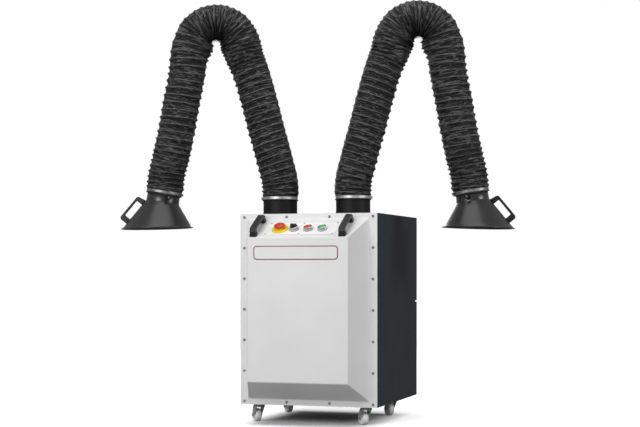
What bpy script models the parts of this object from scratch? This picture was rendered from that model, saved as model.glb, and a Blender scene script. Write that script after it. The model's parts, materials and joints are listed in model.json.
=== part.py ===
# Mobile welding fume extractor with two self-supporting extraction arms.
# Metres, +Z up. The cabinet faces -Y, and the floor is at z = 0.

import math

import bmesh
import bpy
from mathutils import Matrix, Vector

# Cabinet, worked out from the photograph and the standard 160 mm arm duct.
BODY_WIDTH = 0.665
BODY_DEPTH = 0.745
BODY_HEIGHT = 0.890
CASTER_HEIGHT = 0.088
FRONT_PLANE_Y = -0.2740
SHEET = 0.002
GAP = 0.0003
HALF_WIDTH = BODY_WIDTH / 2
RETURN_FLANGE = 0.024

# Pressed front cover: a flat rim round a bulge with four sloping sides.
BULGE_DEPTH = 0.159
RIM_SIDE = 0.0392
RIM_TOP = 0.0224
RIM_BOTTOM = 0.0286
SLOPE_SIDE = 0.0533
SLOPE_TOP = 0.0893
SLOPE_BOTTOM = 0.0878
COVER_FACE_Y = -SHEET - GAP
FOLD_RADIUS = 0.004

# Rear door over the filter and the louvred panel below it wrap round the sides.
REAR_RETURN = 0.032
REAR_SEAM_LOW = 0.468
REAR_SEAM_HIGH = 0.475
SIDE_PANEL_DEPTH = BODY_DEPTH - REAR_RETURN - 0.001
HINGE_HEIGHTS = (0.545, 0.820)
HINGE_RADIUS = 0.006
HINGE_PIN_RADIUS = 0.003
KNUCKLE_LENGTH = 0.022
LATCH_X = HALF_WIDTH - 0.050
LATCH_Z = 0.680
LOUVRE_LENGTH = 0.110
LOUVRE_HEIGHT = 0.007
LOUVRE_SPACING = (0.150, 0.040)
LOUVRE_ROWS = 5
LOUVRE_LOWEST = 0.210
INLET_X = 0.230
INLET_Z = 0.090
INLET_HOLE_RADIUS = 0.0240
INLET_REACH = 0.0236

# Control panel on the top slope of the cover.
SLOPE_ANGLE = math.atan2(SLOPE_TOP, BULGE_DEPTH)
PLATE_SIZE = (0.345, 0.116, 0.002)
PLATE_Y = -0.013
PLATE_TOP = GAP + PLATE_SIZE[2]
CONTROL_SPACING = 0.0674
CONTROL_Y = -0.021
PANEL_HOLE_RADIUS = 0.0153
BARREL_RADIUS = 0.0149
ESTOP_X = -1.5 * CONTROL_SPACING
SELECTOR_X = -0.5 * CONTROL_SPACING
STOP_X = 0.5 * CONTROL_SPACING
START_X = 1.5 * CONTROL_SPACING
FRONT_HANDLE_X = 0.212
FRONT_HANDLE_FEET = (-0.077, 0.057)
FRONT_HANDLE_TOP = 0.0410
FRONT_HANDLE_SHOULDER = 0.0280
FRONT_HANDLE_UNDERSIDE = 0.0265
FRONT_HANDLE_WIDTH = 0.028
FRONT_FOOT_WIDTH = 0.035
FRONT_FOOT_DEPTH = 0.026

# Fan and filter inside the cabinet.
PARTITION_TOP = 0.468
PARTITION_FLANGE = 0.028
FAN_Y = 0.360
FAN_HOUSING_Z = (0.330, PARTITION_TOP - SHEET - GAP)
FAN_INLET_RADIUS = 0.095
IMPELLER_RADIUS = 0.150
BLADE_COUNT = 8
FILTER_RADIUS = 0.155
FILTER_ROOT_RADIUS = 0.122
FILTER_BORE_RADIUS = 0.100
FILTER_PLEATS = 24
FILTER_HEIGHT = 0.320

# Swivel casters with 63 mm nylon wheels, as the photograph leaves them turned.
CASTER_X = 0.262
CASTER_FRONT_Y = 0.060
CASTER_REAR_Y = 0.520
CASTER_TURN = math.radians(132)
CASTER_TRAIL = 0.028
WHEEL_RADIUS = 0.0315
WHEEL_SIDES = 20
WHEEL_CENTRE_Z = WHEEL_RADIUS * math.cos(math.pi / WHEEL_SIDES)
AXLE_RADIUS = 0.004

# Sides of round pieces: ducts and rings, controls and caps, pins and small holes.
DUCT_SIDES = 20
ESTOP_SIDES = 20
CAP_SIDES = 16
PIN_SIDES = 8

# Half lengths of the cutters for round holes through sheet.
ALONG_Y = Vector((0, 0.02, 0))
ALONG_Z = Vector((0, 0, 0.02))

# Extraction arms. Points in an arm are (outward, up) from the foot of its swivel axis.
ARM_X = 0.180
ARM_Y = 0.127
ARM_TURN = math.radians(17.7)
DUCT_RADIUS = 0.080
COLLAR_TOP = 0.975
SHOULDER = (0.0, 1.020)
LOWER_CRANK = (0.135, 1.550)
ELBOW = (0.303, 1.782)
UPPER_CRANK = (0.430, 1.665)
HOOD_TILT = math.radians(9)
HOOD_JUNCTION = (0.558, 0.951)
NECK_RADIUS = 0.0778
NECK_LENGTH = 0.0537
MOUTH_CENTRE = (0.584, 0.824)
MOUTH_RADIUS = 0.170
MOUTH_TILT = math.radians(-1.4)
HOOD_WALL = 0.002
HOOD_SIDES = 20
WRIST_RISE = 0.125
DAMPER_RISE = 0.022
DAMPER_RADIUS = 0.066
DAMPER_TURN = math.radians(21)
SPINDLE_RADIUS = 0.004
LINK_RADIUS = 0.011
CRANK_BEND = 0.060
PIN_RADIUS = 0.006
EYE_RADIUS = 0.017
EYE_HALF = 0.007
EAR_GAP = 0.008
EAR_THICKNESS = 0.005
LUG_LENGTH = 0.034
BAND_RADIUS = 0.0835
BAND_HEIGHT = 0.013
HOOD_HANDLE_ENDS = (0.006, 0.150)
HOOD_HANDLE_LEG = 0.028
HOOD_HANDLE_REACH = 0.042
HOOD_HANDLE_BAR = 0.0106
HOOD_HANDLE_CORNER = 0.013
HOOD_HANDLE_WIDTH = 0.020

# Ribbed hose: straight for one diameter at each end, with a tight bend at the top.
HOSE_VALLEY = 0.0835
HOSE_RIDGE = 0.0905
HOSE_BORE = 0.0775
HOSE_STRAIGHT = 0.160
RIB_PITCH = 0.040
LOWER_LEG = ((0.099, 1.420), (0.130, 1.530), (0.162, 1.628))
BEND_CENTRE = (0.302, 1.680)
BEND_RADIUS = 0.120
BEND_ANGLES = (156, 127, 98, 69, 40, 12)
UPPER_LEG = ((0.447, 1.537), (0.469, 1.420), (0.490, 1.302))

# Colours read from the photograph, with roughness and metallic value.
FINISHES = {
    "light_paint": ((0.71, 0.72, 0.73), 0.45, 0.0),
    "dark_paint": ((0.035, 0.040, 0.044), 0.50, 0.0),
    "black_plastic": ((0.020, 0.020, 0.022), 0.45, 0.0),
    "black_paint": ((0.028, 0.029, 0.031), 0.35, 0.0),
    "hose_fabric": ((0.030, 0.030, 0.032), 0.70, 0.0),
    "yellow_plastic": ((0.80, 0.62, 0.03), 0.40, 0.0),
    "red_plastic": ((0.65, 0.06, 0.03), 0.35, 0.0),
    "green_plastic": ((0.05, 0.38, 0.13), 0.35, 0.0),
    "bright_metal": ((0.72, 0.72, 0.73), 0.20, 1.0),
    "zinc": ((0.50, 0.51, 0.52), 0.35, 1.0),
    "nylon": ((0.62, 0.62, 0.60), 0.50, 0.0),
    "filter_paper": ((0.80, 0.78, 0.70), 0.90, 0.0),
    "motor_paint": ((0.10, 0.13, 0.16), 0.50, 0.0),
}


# Scene and collections
def clear_scene():
    for old in list(bpy.data.objects):
        bpy.data.objects.remove(old, do_unlink=True)


def new_collection(name):
    collection = bpy.data.collections.new(name)
    bpy.context.scene.collection.children.link(collection)
    return collection


clear_scene()
PARTS = new_collection("welding_fume_extractor")
CUTTERS = new_collection("cutters")


# Objects, materials and placing
def finish_material(part_name, finish):
    colour, roughness, metallic = FINISHES[finish]
    material = bpy.data.materials.new(part_name + "_finish")
    material.use_nodes = True
    shader = material.node_tree.nodes["Principled BSDF"]
    shader.inputs["Base Color"].default_value = (*colour, 1.0)
    shader.inputs["Roughness"].default_value = roughness
    shader.inputs["Metallic"].default_value = metallic
    return material


def object_from(name, data):
    piece = bpy.data.objects.new(name, data)
    PARTS.objects.link(piece)
    return piece


def empty_at(name, location, turn=(0, 0, 0), parent=None):
    frame = object_from(name, None)
    frame.location = location
    frame.rotation_euler = turn
    frame.parent = parent
    return frame


def keep(piece, finish, parent, pivot=(0, 0, 0)):
    """Give a piece its finish and its parent, and put its origin on the pivot."""
    piece.data.materials.clear()
    piece.data.materials.append(finish_material(piece.name, finish))
    shift = Vector(pivot)
    piece.data.transform(Matrix.Translation(-shift))
    for modifier in piece.modifiers:
        if modifier.type == "BOOLEAN":
            modifier.object.data.transform(Matrix.Translation(-shift))
            modifier.object.parent = piece
    piece["pivot"] = pivot
    piece.parent = parent
    piece.location = shift - Vector(parent.get("pivot", (0, 0, 0)))
    return piece


def as_tool(piece):
    PARTS.objects.unlink(piece)
    CUTTERS.objects.link(piece)
    piece.hide_render = True
    piece.display_type = "WIRE"


def combine(target, tool, operation):
    as_tool(tool)
    modifier = target.modifiers.new(tool.name, "BOOLEAN")
    modifier.operation = operation
    modifier.solver = "EXACT"
    modifier.object = tool


def cut(target, *tools):
    for tool in tools:
        combine(target, tool, "DIFFERENCE")


def fuse(target, *tools):
    for tool in tools:
        combine(target, tool, "UNION")


# Basic shapes
def smooth(mesh):
    """Shade round surfaces smooth and keep the edges between flat ones sharp."""
    mesh.shade_smooth()
    mesh.set_sharp_from_angle(angle=math.radians(35))


def mesh_object(name, bm):
    mesh = bpy.data.meshes.new(name)
    bm.to_mesh(mesh)
    bm.free()
    smooth(mesh)
    return object_from(name, mesh)


def box(name, low, high):
    bm = bmesh.new()
    size = [b - a for a, b in zip(low, high)]
    centre = [(a + b) / 2 for a, b in zip(low, high)]
    place = Matrix.Translation(centre) @ Matrix.Diagonal((*size, 1.0))
    bmesh.ops.create_cube(bm, size=1.0, matrix=place)
    return mesh_object(name, bm)


def rod(name, start, end, radius, sides=20, end_radius=None):
    start = Vector(start)
    run = Vector(end) - start
    turn = run.to_track_quat("Z", "Y").to_matrix().to_4x4()
    bm = bmesh.new()
    bmesh.ops.create_cone(
        bm,
        cap_ends=True,
        segments=sides,
        radius1=radius,
        radius2=radius if end_radius is None else end_radius,
        depth=run.length,
        matrix=Matrix.Translation(start + run / 2) @ turn,
    )
    return mesh_object(name, bm)


def drill(target, name, centre, half_length, radius, sides=PIN_SIDES):
    """Cut a round hole whose axis runs half_length to each side of its centre."""
    centre = Vector(centre)
    cut(target, rod(name, centre - half_length, centre + half_length, radius, sides))


def turned(name, profile, sides=32):
    """Turn a profile of (radius, height) points, outer side first and downwards, round Z."""
    bm = bmesh.new()
    points = [bm.verts.new((radius, 0, height)) for radius, height in profile]
    for first, second in zip(points, points[1:]):
        bm.edges.new((first, second))
    if profile[0][0] > 0:
        bm.edges.new((points[-1], points[0]))
    piece = mesh_object(name, bm)
    screw = piece.modifiers.new("turn", "SCREW")
    screw.steps = sides
    screw.render_steps = sides
    screw.use_merge_vertices = True
    screw.merge_threshold = 0.00005
    return as_mesh(piece)


def as_mesh(piece):
    """Replace a curve, or an object with modifiers, by the mesh that it evaluates to."""
    name = piece.name
    piece.name = name + "_source"
    bpy.context.view_layer.update()
    evaluated = piece.evaluated_get(bpy.context.evaluated_depsgraph_get())
    mesh = bpy.data.meshes.new_from_object(evaluated)
    bm = bmesh.new()
    bm.from_mesh(mesh)
    bmesh.ops.remove_doubles(bm, verts=bm.verts, dist=0.00002)
    bm.to_mesh(mesh)
    bm.free()
    smooth(mesh)
    solid = object_from(name, mesh)
    solid.matrix_world = piece.matrix_world
    bpy.data.objects.remove(piece, do_unlink=True)
    return solid


def plate(name, outline, thickness, turn=Matrix.Identity(4)):
    """A flat plate with the given (x, y) outline, centred on z = 0, then turned."""
    curve = bpy.data.curves.new(name, "CURVE")
    curve.dimensions = "2D"
    curve.fill_mode = "BOTH"
    curve.extrude = thickness / 2
    spline = curve.splines.new("POLY")
    spline.points.add(len(outline) - 1)
    for point, (x, y) in zip(spline.points, outline):
        point.co = (x, y, 0, 1)
    spline.use_cyclic_u = True
    piece = as_mesh(object_from(name, curve))
    piece.data.transform(turn)
    return piece


def pipe(name, points, radius, radii=None, resolution=3):
    """A round bar along a chain of points. radii scales the bar at each point."""
    curve = bpy.data.curves.new(name, "CURVE")
    curve.dimensions = "3D"
    curve.bevel_depth = radius
    curve.bevel_resolution = resolution
    curve.use_fill_caps = True
    spline = curve.splines.new("POLY")
    spline.points.add(len(points) - 1)
    for index, (point, place) in enumerate(zip(spline.points, points)):
        point.co = (*place, 1)
        point.radius = radii[index] if radii else 1.0
    return as_mesh(object_from(name, curve))


def rounded_path(points, radius, steps=4):
    """Round each inner corner of a chain of points with a short curve."""
    points = [Vector(point) for point in points]
    path = [points[0]]
    for before, corner, after in zip(points, points[1:], points[2:]):
        start = corner + (before - corner).normalized() * radius
        end = corner + (after - corner).normalized() * radius
        for step in range(steps + 1):
            t = step / steps
            path.append(start.lerp(corner, t).lerp(corner.lerp(end, t), t))
    path.append(points[-1])
    return path


def tray(name, low, high, open_side):
    """A folded sheet box without the face whose normal is open_side."""
    piece = box(name, low, high)
    bm = bmesh.new()
    bm.from_mesh(piece.data)
    bm.faces.ensure_lookup_table()
    bm.normal_update()
    lids = [face for face in bm.faces if face.normal.dot(Vector(open_side)) > 0.9]
    bmesh.ops.delete(bm, geom=lids, context="FACES")
    bm.to_mesh(piece.data)
    bm.free()
    thicken(piece, SHEET)
    return piece


def thicken(piece, thickness):
    shell = piece.modifiers.new("sheet", "SOLIDIFY")
    shell.thickness = thickness
    shell.offset = -1
    shell.use_even_offset = True


def arc(centre, radius, start, end, steps):
    """Points on an arc from start to end, in degrees."""
    angles = [math.radians(start + (end - start) * step / steps) for step in range(steps + 1)]
    return [(centre[0] + radius * math.cos(a), centre[1] + radius * math.sin(a)) for a in angles]


# Cabinet panels
def make_base_pan(cabinet):
    inset = HALF_WIDTH - SHEET - GAP
    pan = tray(
        "base_pan",
        (-inset, SHEET + 2 * GAP, 0.0),
        (inset, SIDE_PANEL_DEPTH - SHEET - GAP, 0.040),
        (0, 0, 1),
    )
    return keep(pan, "dark_paint", cabinet)


def make_side_panel(cabinet, name, side):
    """A sheet folded in at the front and the back. side is -1 for left and 1 for right."""
    path = [
        (side * (HALF_WIDTH - RETURN_FLANGE), 0.0),
        (side * HALF_WIDTH, 0.0),
        (side * HALF_WIDTH, SIDE_PANEL_DEPTH),
        (side * (HALF_WIDTH - RETURN_FLANGE), SIDE_PANEL_DEPTH),
    ]
    if side < 0:
        path.reverse()
    bm = bmesh.new()
    points = [bm.verts.new((x, y, 0.0)) for x, y in path]
    edges = [bm.edges.new(pair) for pair in zip(points, points[1:])]
    grown = bmesh.ops.extrude_edge_only(bm, edges=edges)["geom"]
    tops = [item for item in grown if isinstance(item, bmesh.types.BMVert)]
    bmesh.ops.translate(bm, verts=tops, vec=(0, 0, BODY_HEIGHT))
    bm.normal_update()
    middle = max(bm.faces, key=lambda face: face.calc_area())
    if middle.normal.x * side < 0:
        bmesh.ops.reverse_faces(bm, faces=bm.faces)
    panel = mesh_object(name, bm)
    thicken(panel, SHEET)
    if side < 0:
        add_fixed_hinges(panel)
    return keep(panel, "dark_paint", cabinet)


def hinge_axis():
    return (-HALF_WIDTH - HINGE_RADIUS, SIDE_PANEL_DEPTH)


def add_fixed_hinges(panel):
    """The outer knuckles, pin and leaf of each door hinge, welded to the side panel."""
    x, y = hinge_axis()
    for number, height in enumerate(HINGE_HEIGHTS):
        leaf = box(
            f"hinge_leaf_{number}",
            (x + HINGE_RADIUS * 0.6, y - 0.026, height - 1.5 * KNUCKLE_LENGTH),
            (x + HINGE_RADIUS + SHEET / 2, y - 0.0075, height + 1.5 * KNUCKLE_LENGTH),
        )
        low = rod(
            f"hinge_knuckle_low_{number}",
            (x, y, height - 1.5 * KNUCKLE_LENGTH),
            (x, y, height - 0.5 * KNUCKLE_LENGTH - GAP),
            HINGE_RADIUS - GAP,
            PIN_SIDES,
        )
        high = rod(
            f"hinge_knuckle_high_{number}",
            (x, y, height + 0.5 * KNUCKLE_LENGTH + GAP),
            (x, y, height + 1.5 * KNUCKLE_LENGTH),
            HINGE_RADIUS - GAP,
            PIN_SIDES,
        )
        pin = rod(
            f"hinge_pin_{number}",
            (x, y, height - 1.4 * KNUCKLE_LENGTH),
            (x, y, height + 1.4 * KNUCKLE_LENGTH),
            HINGE_PIN_RADIUS - GAP,
            PIN_SIDES,
        )
        low_web = box(
            f"hinge_web_low_{number}",
            (x + 0.002, y - 0.010, height - 1.5 * KNUCKLE_LENGTH + 0.001),
            (x + HINGE_RADIUS * 0.8, y - 0.001, height - 0.5 * KNUCKLE_LENGTH - 2 * GAP),
        )
        high_web = box(
            f"hinge_web_high_{number}",
            (x + 0.002, y - 0.010, height + 0.5 * KNUCKLE_LENGTH + 2 * GAP),
            (x + HINGE_RADIUS * 0.8, y - 0.001, height + 1.5 * KNUCKLE_LENGTH - 0.001),
        )
        fuse(panel, leaf, low_web, high_web, low, high, pin)


def make_top_panel(cabinet):
    inset = HALF_WIDTH - SHEET - GAP
    panel = tray(
        "top_panel",
        (-inset, SHEET + 2 * GAP, BODY_HEIGHT - 0.036),
        (inset, SIDE_PANEL_DEPTH - SHEET - GAP, BODY_HEIGHT),
        (0, 0, -1),
    )
    for side in (-1, 1):
        place = (side * ARM_X, ARM_Y, BODY_HEIGHT)
        drill(panel, f"top_hole_{side + 1}", place, ALONG_Z, DUCT_RADIUS + 0.0015, DUCT_SIDES)
    return keep(panel, "dark_paint", cabinet)


def rectangle(half_width, low, high, y):
    left = -half_width
    right = half_width
    return [(left, y, low), (right, y, low), (right, y, high), (left, y, high)]


def make_front_cover(cabinet):
    """The rim, the four slopes and the raised face, folded from one sheet."""
    rings = [
        rectangle(HALF_WIDTH, 0.0, BODY_HEIGHT, COVER_FACE_Y),
        rectangle(HALF_WIDTH - RIM_SIDE, RIM_BOTTOM, BODY_HEIGHT - RIM_TOP, COVER_FACE_Y),
        rectangle(
            HALF_WIDTH - RIM_SIDE - SLOPE_SIDE,
            RIM_BOTTOM + SLOPE_BOTTOM,
            BODY_HEIGHT - RIM_TOP - SLOPE_TOP,
            COVER_FACE_Y - BULGE_DEPTH,
        ),
    ]
    bm = bmesh.new()
    loops = [[bm.verts.new(point) for point in ring] for ring in rings]
    for outer, inner in zip(loops, loops[1:]):
        for index in range(4):
            following = (index + 1) % 4
            bm.faces.new((outer[index], outer[following], inner[following], inner[index]))
    bm.faces.new(loops[-1])
    cover = mesh_object("front_cover", bm)
    folds = cover.modifiers.new("folds", "BEVEL")
    folds.width = FOLD_RADIUS
    folds.segments = 2
    folds.limit_method = "ANGLE"
    folds.angle_limit = math.radians(15)
    thicken(cover, SHEET)
    low = (-0.150, PLATE_Y - 0.046, -0.010)
    high = (0.150, PLATE_Y + 0.046, 0.010)
    window = box("control_window", low, high)
    window.data.transform(slope_matrix())
    cut(cover, window)
    return keep(cover, "light_paint", cabinet)


def slope_origin():
    """Middle of the cover's top slope, on its outer face."""
    return (0.0, COVER_FACE_Y - BULGE_DEPTH / 2, BODY_HEIGHT - RIM_TOP - SLOPE_TOP / 2)


def slope_matrix():
    return Matrix.Translation(slope_origin()) @ Matrix.Rotation(SLOPE_ANGLE, 4, "X")


# Controls, placed on the slope: x across, y up the slope, z out of it
def make_control_plate(slope):
    width, height, thickness = PLATE_SIZE
    corner = 0.006
    outline = []
    for x, y, start in ((1, -1, -90), (1, 1, 0), (-1, 1, 90), (-1, -1, 180)):
        centre = (x * (width / 2 - corner), y * (height / 2 - corner))
        outline += arc(centre, corner, start, start + 90, 2)
    lift = Matrix.Translation((0, PLATE_Y, GAP + thickness / 2))
    panel = plate("control_plate", outline, thickness, lift)
    for number, x in enumerate((ESTOP_X, SELECTOR_X, STOP_X, START_X)):
        place = (x, CONTROL_Y, 0)
        drill(panel, f"control_hole_{number}", place, ALONG_Z, PANEL_HOLE_RADIUS, CAP_SIDES)
    return keep(panel, "light_paint", slope)


def place_control(piece, x, finish, slope):
    piece.data.transform(Matrix.Translation((x, CONTROL_Y, 0)))
    for modifier in piece.modifiers:
        modifier.object.data.transform(Matrix.Translation((x, CONTROL_Y, 0)))
    return keep(piece, finish, slope, (x, CONTROL_Y, 0))


def make_estop(slope):
    seat = PLATE_TOP + GAP
    base = turned(
        "estop_base",
        [
            (0.018, 0.0125),
            (0.018, seat + 0.005),
            (0.037, seat + 0.005),
            (0.039, seat),
            (BARREL_RADIUS, seat),
            (BARREL_RADIUS, -0.030),
            (0.0088, -0.030),
            (0.0088, 0.0125),
        ],
        ESTOP_SIDES,
    )
    place_control(base, ESTOP_X, "yellow_plastic", slope)
    cap = [(0.0, 0.0300), (0.014, 0.0288), (0.022, 0.0258), (0.0265, 0.0215), (0.0265, 0.0195)]
    stem = [(0.0240, 0.0180), (0.0082, 0.0180), (0.0082, -0.020), (0.0, -0.020)]
    button = turned("estop_button", cap + stem, ESTOP_SIDES)
    place_control(button, ESTOP_X, "red_plastic", slope)


def make_bezel(slope, name, x):
    seat = PLATE_TOP + GAP
    ring = turned(
        name,
        [
            (0.0190, 0.0180),
            (0.0215, 0.0060),
            (0.0215, seat),
            (BARREL_RADIUS, seat),
            (BARREL_RADIUS, -0.028),
            (0.0106, -0.028),
            (0.0106, 0.0045),
            (0.0166, 0.0045),
            (0.0166, 0.0180),
        ],
        CAP_SIDES,
    )
    place_control(ring, x, "bright_metal", slope)


def make_push_button(slope, name, x, finish):
    button = turned(
        name,
        [
            (0.0, 0.0208),
            (0.0125, 0.0200),
            (0.0160, 0.0175),
            (0.0160, 0.0095),
            (0.0100, 0.0095),
            (0.0100, -0.020),
            (0.0, -0.020),
        ],
        CAP_SIDES,
    )
    place_control(button, x, finish, slope)


def make_selector_knob(slope):
    knob = turned(
        "selector_knob",
        [
            (0.0, 0.0200),
            (0.0160, 0.0190),
            (0.0160, 0.0060),
            (0.0100, 0.0060),
            (0.0100, -0.020),
            (0.0, -0.020),
        ],
        CAP_SIDES,
    )
    half_length = 0.0150
    half_width = 0.0050
    outline = arc((half_length - half_width, 0), half_width, -90, 90, 4)
    outline += arc((-half_length + half_width, 0), half_width, 90, 270, 4)
    grip = plate("selector_grip", outline, 0.013, Matrix.Translation((0, 0, 0.0245)))
    fuse(knob, grip)
    place_control(knob, SELECTOR_X, "black_plastic", slope)


def make_front_handle(slope, name, x):
    """An angular bridge grip with chamfered shoulders on two broad feet."""
    low, high = FRONT_HANDLE_FEET
    outline = [
        (low + 0.011, 0.004),
        (low - 0.012, 0.004),
        (low - 0.012, FRONT_HANDLE_SHOULDER),
        (low + 0.004, FRONT_HANDLE_TOP),
        (high - 0.004, FRONT_HANDLE_TOP),
        (high + 0.012, FRONT_HANDLE_SHOULDER),
        (high + 0.012, 0.004),
        (high - 0.011, 0.004),
        (high - 0.011, FRONT_HANDLE_UNDERSIDE - 0.008),
        (high - 0.019, FRONT_HANDLE_UNDERSIDE),
        (low + 0.019, FRONT_HANDLE_UNDERSIDE),
        (low + 0.011, FRONT_HANDLE_UNDERSIDE - 0.008),
    ]
    upright = Matrix(((0, 0, 1, x), (1, 0, 0, 0), (0, 1, 0, 0), (0, 0, 0, 1)))
    handle = plate(name, outline, FRONT_HANDLE_WIDTH, upright)
    for number, y in enumerate(FRONT_HANDLE_FEET):
        foot = box(
            f"{name}_foot_{number}",
            (x - FRONT_FOOT_WIDTH / 2, y - FRONT_FOOT_DEPTH / 2, GAP),
            (x + FRONT_FOOT_WIDTH / 2, y + FRONT_FOOT_DEPTH / 2, 0.014),
        )
        fuse(handle, foot)
    return keep(handle, "black_plastic", slope)


# Rear of the cabinet
def make_filter_door(cabinet):
    door = tray(
        "filter_door",
        (-HALF_WIDTH, BODY_DEPTH - REAR_RETURN, REAR_SEAM_HIGH),
        (HALF_WIDTH, BODY_DEPTH, BODY_HEIGHT),
        (0, -1, 0),
    )
    x, y = hinge_axis()
    for number, height in enumerate(HINGE_HEIGHTS):
        leaf = box(
            f"door_leaf_{number}",
            (x + HINGE_RADIUS * 0.5, y + 0.003, height - 0.5 * KNUCKLE_LENGTH),
            (x + HINGE_RADIUS + SHEET / 2, y + 0.026, height + 0.5 * KNUCKLE_LENGTH),
        )
        knuckle = rod(
            f"door_knuckle_{number}",
            (x, y, height - 0.5 * KNUCKLE_LENGTH),
            (x, y, height + 0.5 * KNUCKLE_LENGTH),
            HINGE_RADIUS - GAP,
            PIN_SIDES,
        )
        fuse(door, leaf, knuckle)
        drill(door, f"door_bore_{number}", (x, y, height), ALONG_Z, HINGE_PIN_RADIUS + GAP)
    drill(door, "latch_hole", (LATCH_X, BODY_DEPTH, LATCH_Z), ALONG_Y, 0.0110, CAP_SIDES)
    return keep(door, "dark_paint", cabinet, (x, y, 0))


def make_door_latch(door):
    """A quarter-turn latch: escutcheon and wing outside, shaft and cam behind the door."""
    rear = BODY_DEPTH
    latch = rod(
        "door_latch",
        (LATCH_X, rear + GAP, LATCH_Z),
        (LATCH_X, rear + 0.006, LATCH_Z),
        0.019,
        CAP_SIDES,
        0.017,
    )
    wing = box(
        "latch_wing",
        (LATCH_X - 0.005, rear + 0.004, LATCH_Z - 0.016),
        (LATCH_X + 0.005, rear + 0.022, LATCH_Z + 0.016),
    )
    shaft = rod(
        "latch_shaft",
        (LATCH_X, rear + 0.003, LATCH_Z),
        (LATCH_X, rear - 0.044, LATCH_Z),
        0.009,
        PIN_SIDES,
    )
    cam_y = SIDE_PANEL_DEPTH - SHEET - 0.006
    cam = box(
        "latch_cam",
        (LATCH_X - 0.009, cam_y - 0.003, LATCH_Z - 0.008),
        (LATCH_X + 0.009, cam_y, LATCH_Z + 0.038),
    )
    fuse(latch, wing, shaft, cam)
    return keep(latch, "black_plastic", door, (LATCH_X, rear, LATCH_Z))


def make_rear_panel(cabinet):
    panel = tray(
        "rear_panel",
        (-HALF_WIDTH, BODY_DEPTH - REAR_RETURN, 0.0),
        (HALF_WIDTH, BODY_DEPTH, REAR_SEAM_LOW),
        (0, -1, 0),
    )
    across, upward = LOUVRE_SPACING
    for column in (-1, 0, 1):
        for row in range(LOUVRE_ROWS):
            x = column * across
            z = LOUVRE_LOWEST + row * upward
            slot = box(
                f"louvre_{column + 1}_{row}",
                (x - LOUVRE_LENGTH / 2, BODY_DEPTH - 0.010, z),
                (x + LOUVRE_LENGTH / 2, BODY_DEPTH + 0.010, z + LOUVRE_HEIGHT),
            )
            cut(panel, slot)
    place = (INLET_X, BODY_DEPTH, INLET_Z)
    drill(panel, "inlet_hole", place, ALONG_Y, INLET_HOLE_RADIUS, CAP_SIDES)
    return keep(panel, "dark_paint", cabinet)


def make_power_inlet(cabinet):
    """A round appliance inlet whose flange lies on the rear panel."""
    inlet = turned(
        "power_inlet",
        [
            (0.0260, INLET_REACH),
            (0.0270, GAP + 0.0040),
            (0.0340, GAP + 0.0040),
            (0.0340, GAP),
            (INLET_HOLE_RADIUS - 0.0005, GAP),
            (INLET_HOLE_RADIUS - 0.0005, -0.030),
            (0.0, -0.030),
            (0.0, -0.014),
            (0.0215, -0.014),
            (0.0215, INLET_REACH),
        ],
        CAP_SIDES,
    )
    place = Matrix.Translation((INLET_X, BODY_DEPTH, INLET_Z))
    inlet.data.transform(place @ Matrix.Rotation(-math.pi / 2, 4, "X"))
    return keep(inlet, "black_plastic", cabinet)


# Filter and fan
def make_partition(cabinet):
    inset = HALF_WIDTH - SHEET - GAP
    panel = tray(
        "partition_plate",
        (-inset, SHEET + 2 * GAP, PARTITION_TOP - PARTITION_FLANGE),
        (inset, SIDE_PANEL_DEPTH - SHEET - GAP, PARTITION_TOP),
        (0, 0, -1),
    )
    place = (0, FAN_Y, PARTITION_TOP)
    drill(panel, "suction_hole", place, ALONG_Z, FAN_INLET_RADIUS, DUCT_SIDES)
    return keep(panel, "zinc", cabinet)


def make_filter_cartridge(cabinet):
    outline = []
    for pleat in range(FILTER_PLEATS):
        for radius, share in ((FILTER_RADIUS, 0.0), (FILTER_ROOT_RADIUS, 0.5)):
            angle = 2 * math.pi * (pleat + share) / FILTER_PLEATS
            outline.append((radius * math.cos(angle), radius * math.sin(angle)))
    middle = PARTITION_TOP + GAP + FILTER_HEIGHT / 2
    place = Matrix.Translation((0, FAN_Y, middle))
    cartridge = plate("filter_cartridge", outline, FILTER_HEIGHT, place)
    bore = rod(
        "filter_bore",
        (0, FAN_Y, PARTITION_TOP - 0.02),
        (0, FAN_Y, PARTITION_TOP + FILTER_HEIGHT + 0.02),
        FILTER_BORE_RADIUS,
        DUCT_SIDES,
    )
    cut(cartridge, bore)
    return keep(cartridge, "filter_paper", cabinet)


def make_filter_cap(cabinet):
    base = PARTITION_TOP + FILTER_HEIGHT + 2 * GAP
    cap = turned(
        "filter_cap",
        [
            (0.0, base + 0.012),
            (0.150, base + 0.012),
            (0.158, base + 0.008),
            (0.158, base),
            (0.0, base),
        ],
        DUCT_SIDES,
    )
    cap.data.transform(Matrix.Translation((0, FAN_Y, 0)))
    return keep(cap, "zinc", cabinet)


def scroll_outline(inset):
    """Plan of the fan scroll, drawn in from its outer wall by inset."""
    points = []
    steps = 12
    for step in range(steps + 1):
        turn = 270 * step / steps
        radius = 0.175 + 0.055 * turn / 270 - inset
        angle = math.radians(90 - turn)
        points.append((radius * math.cos(angle), FAN_Y + radius * math.sin(angle)))
    outlet_left = -0.230 + inset
    reach = BODY_DEPTH - REAR_RETURN - 0.020 + (0.05 if inset else 0)
    points.append((outlet_left, reach))
    points.append((-0.045 - inset, reach))
    points.append((-0.045 - inset, FAN_Y + 0.172 - inset))
    return points


def make_fan_housing(cabinet):
    low, high = FAN_HOUSING_Z
    middle = Matrix.Translation((0, 0, (low + high) / 2))
    housing = plate("fan_housing", scroll_outline(0.0), high - low, middle)
    hollow = plate("fan_hollow", scroll_outline(0.003), high - low - 0.006, middle)
    cut(housing, hollow)
    drill(housing, "fan_inlet", (0, FAN_Y, high), ALONG_Z, FAN_INLET_RADIUS, DUCT_SIDES)
    drill(housing, "shaft_hole", (0, FAN_Y, low), ALONG_Z, 0.020)
    return keep(housing, "zinc", cabinet)


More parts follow.
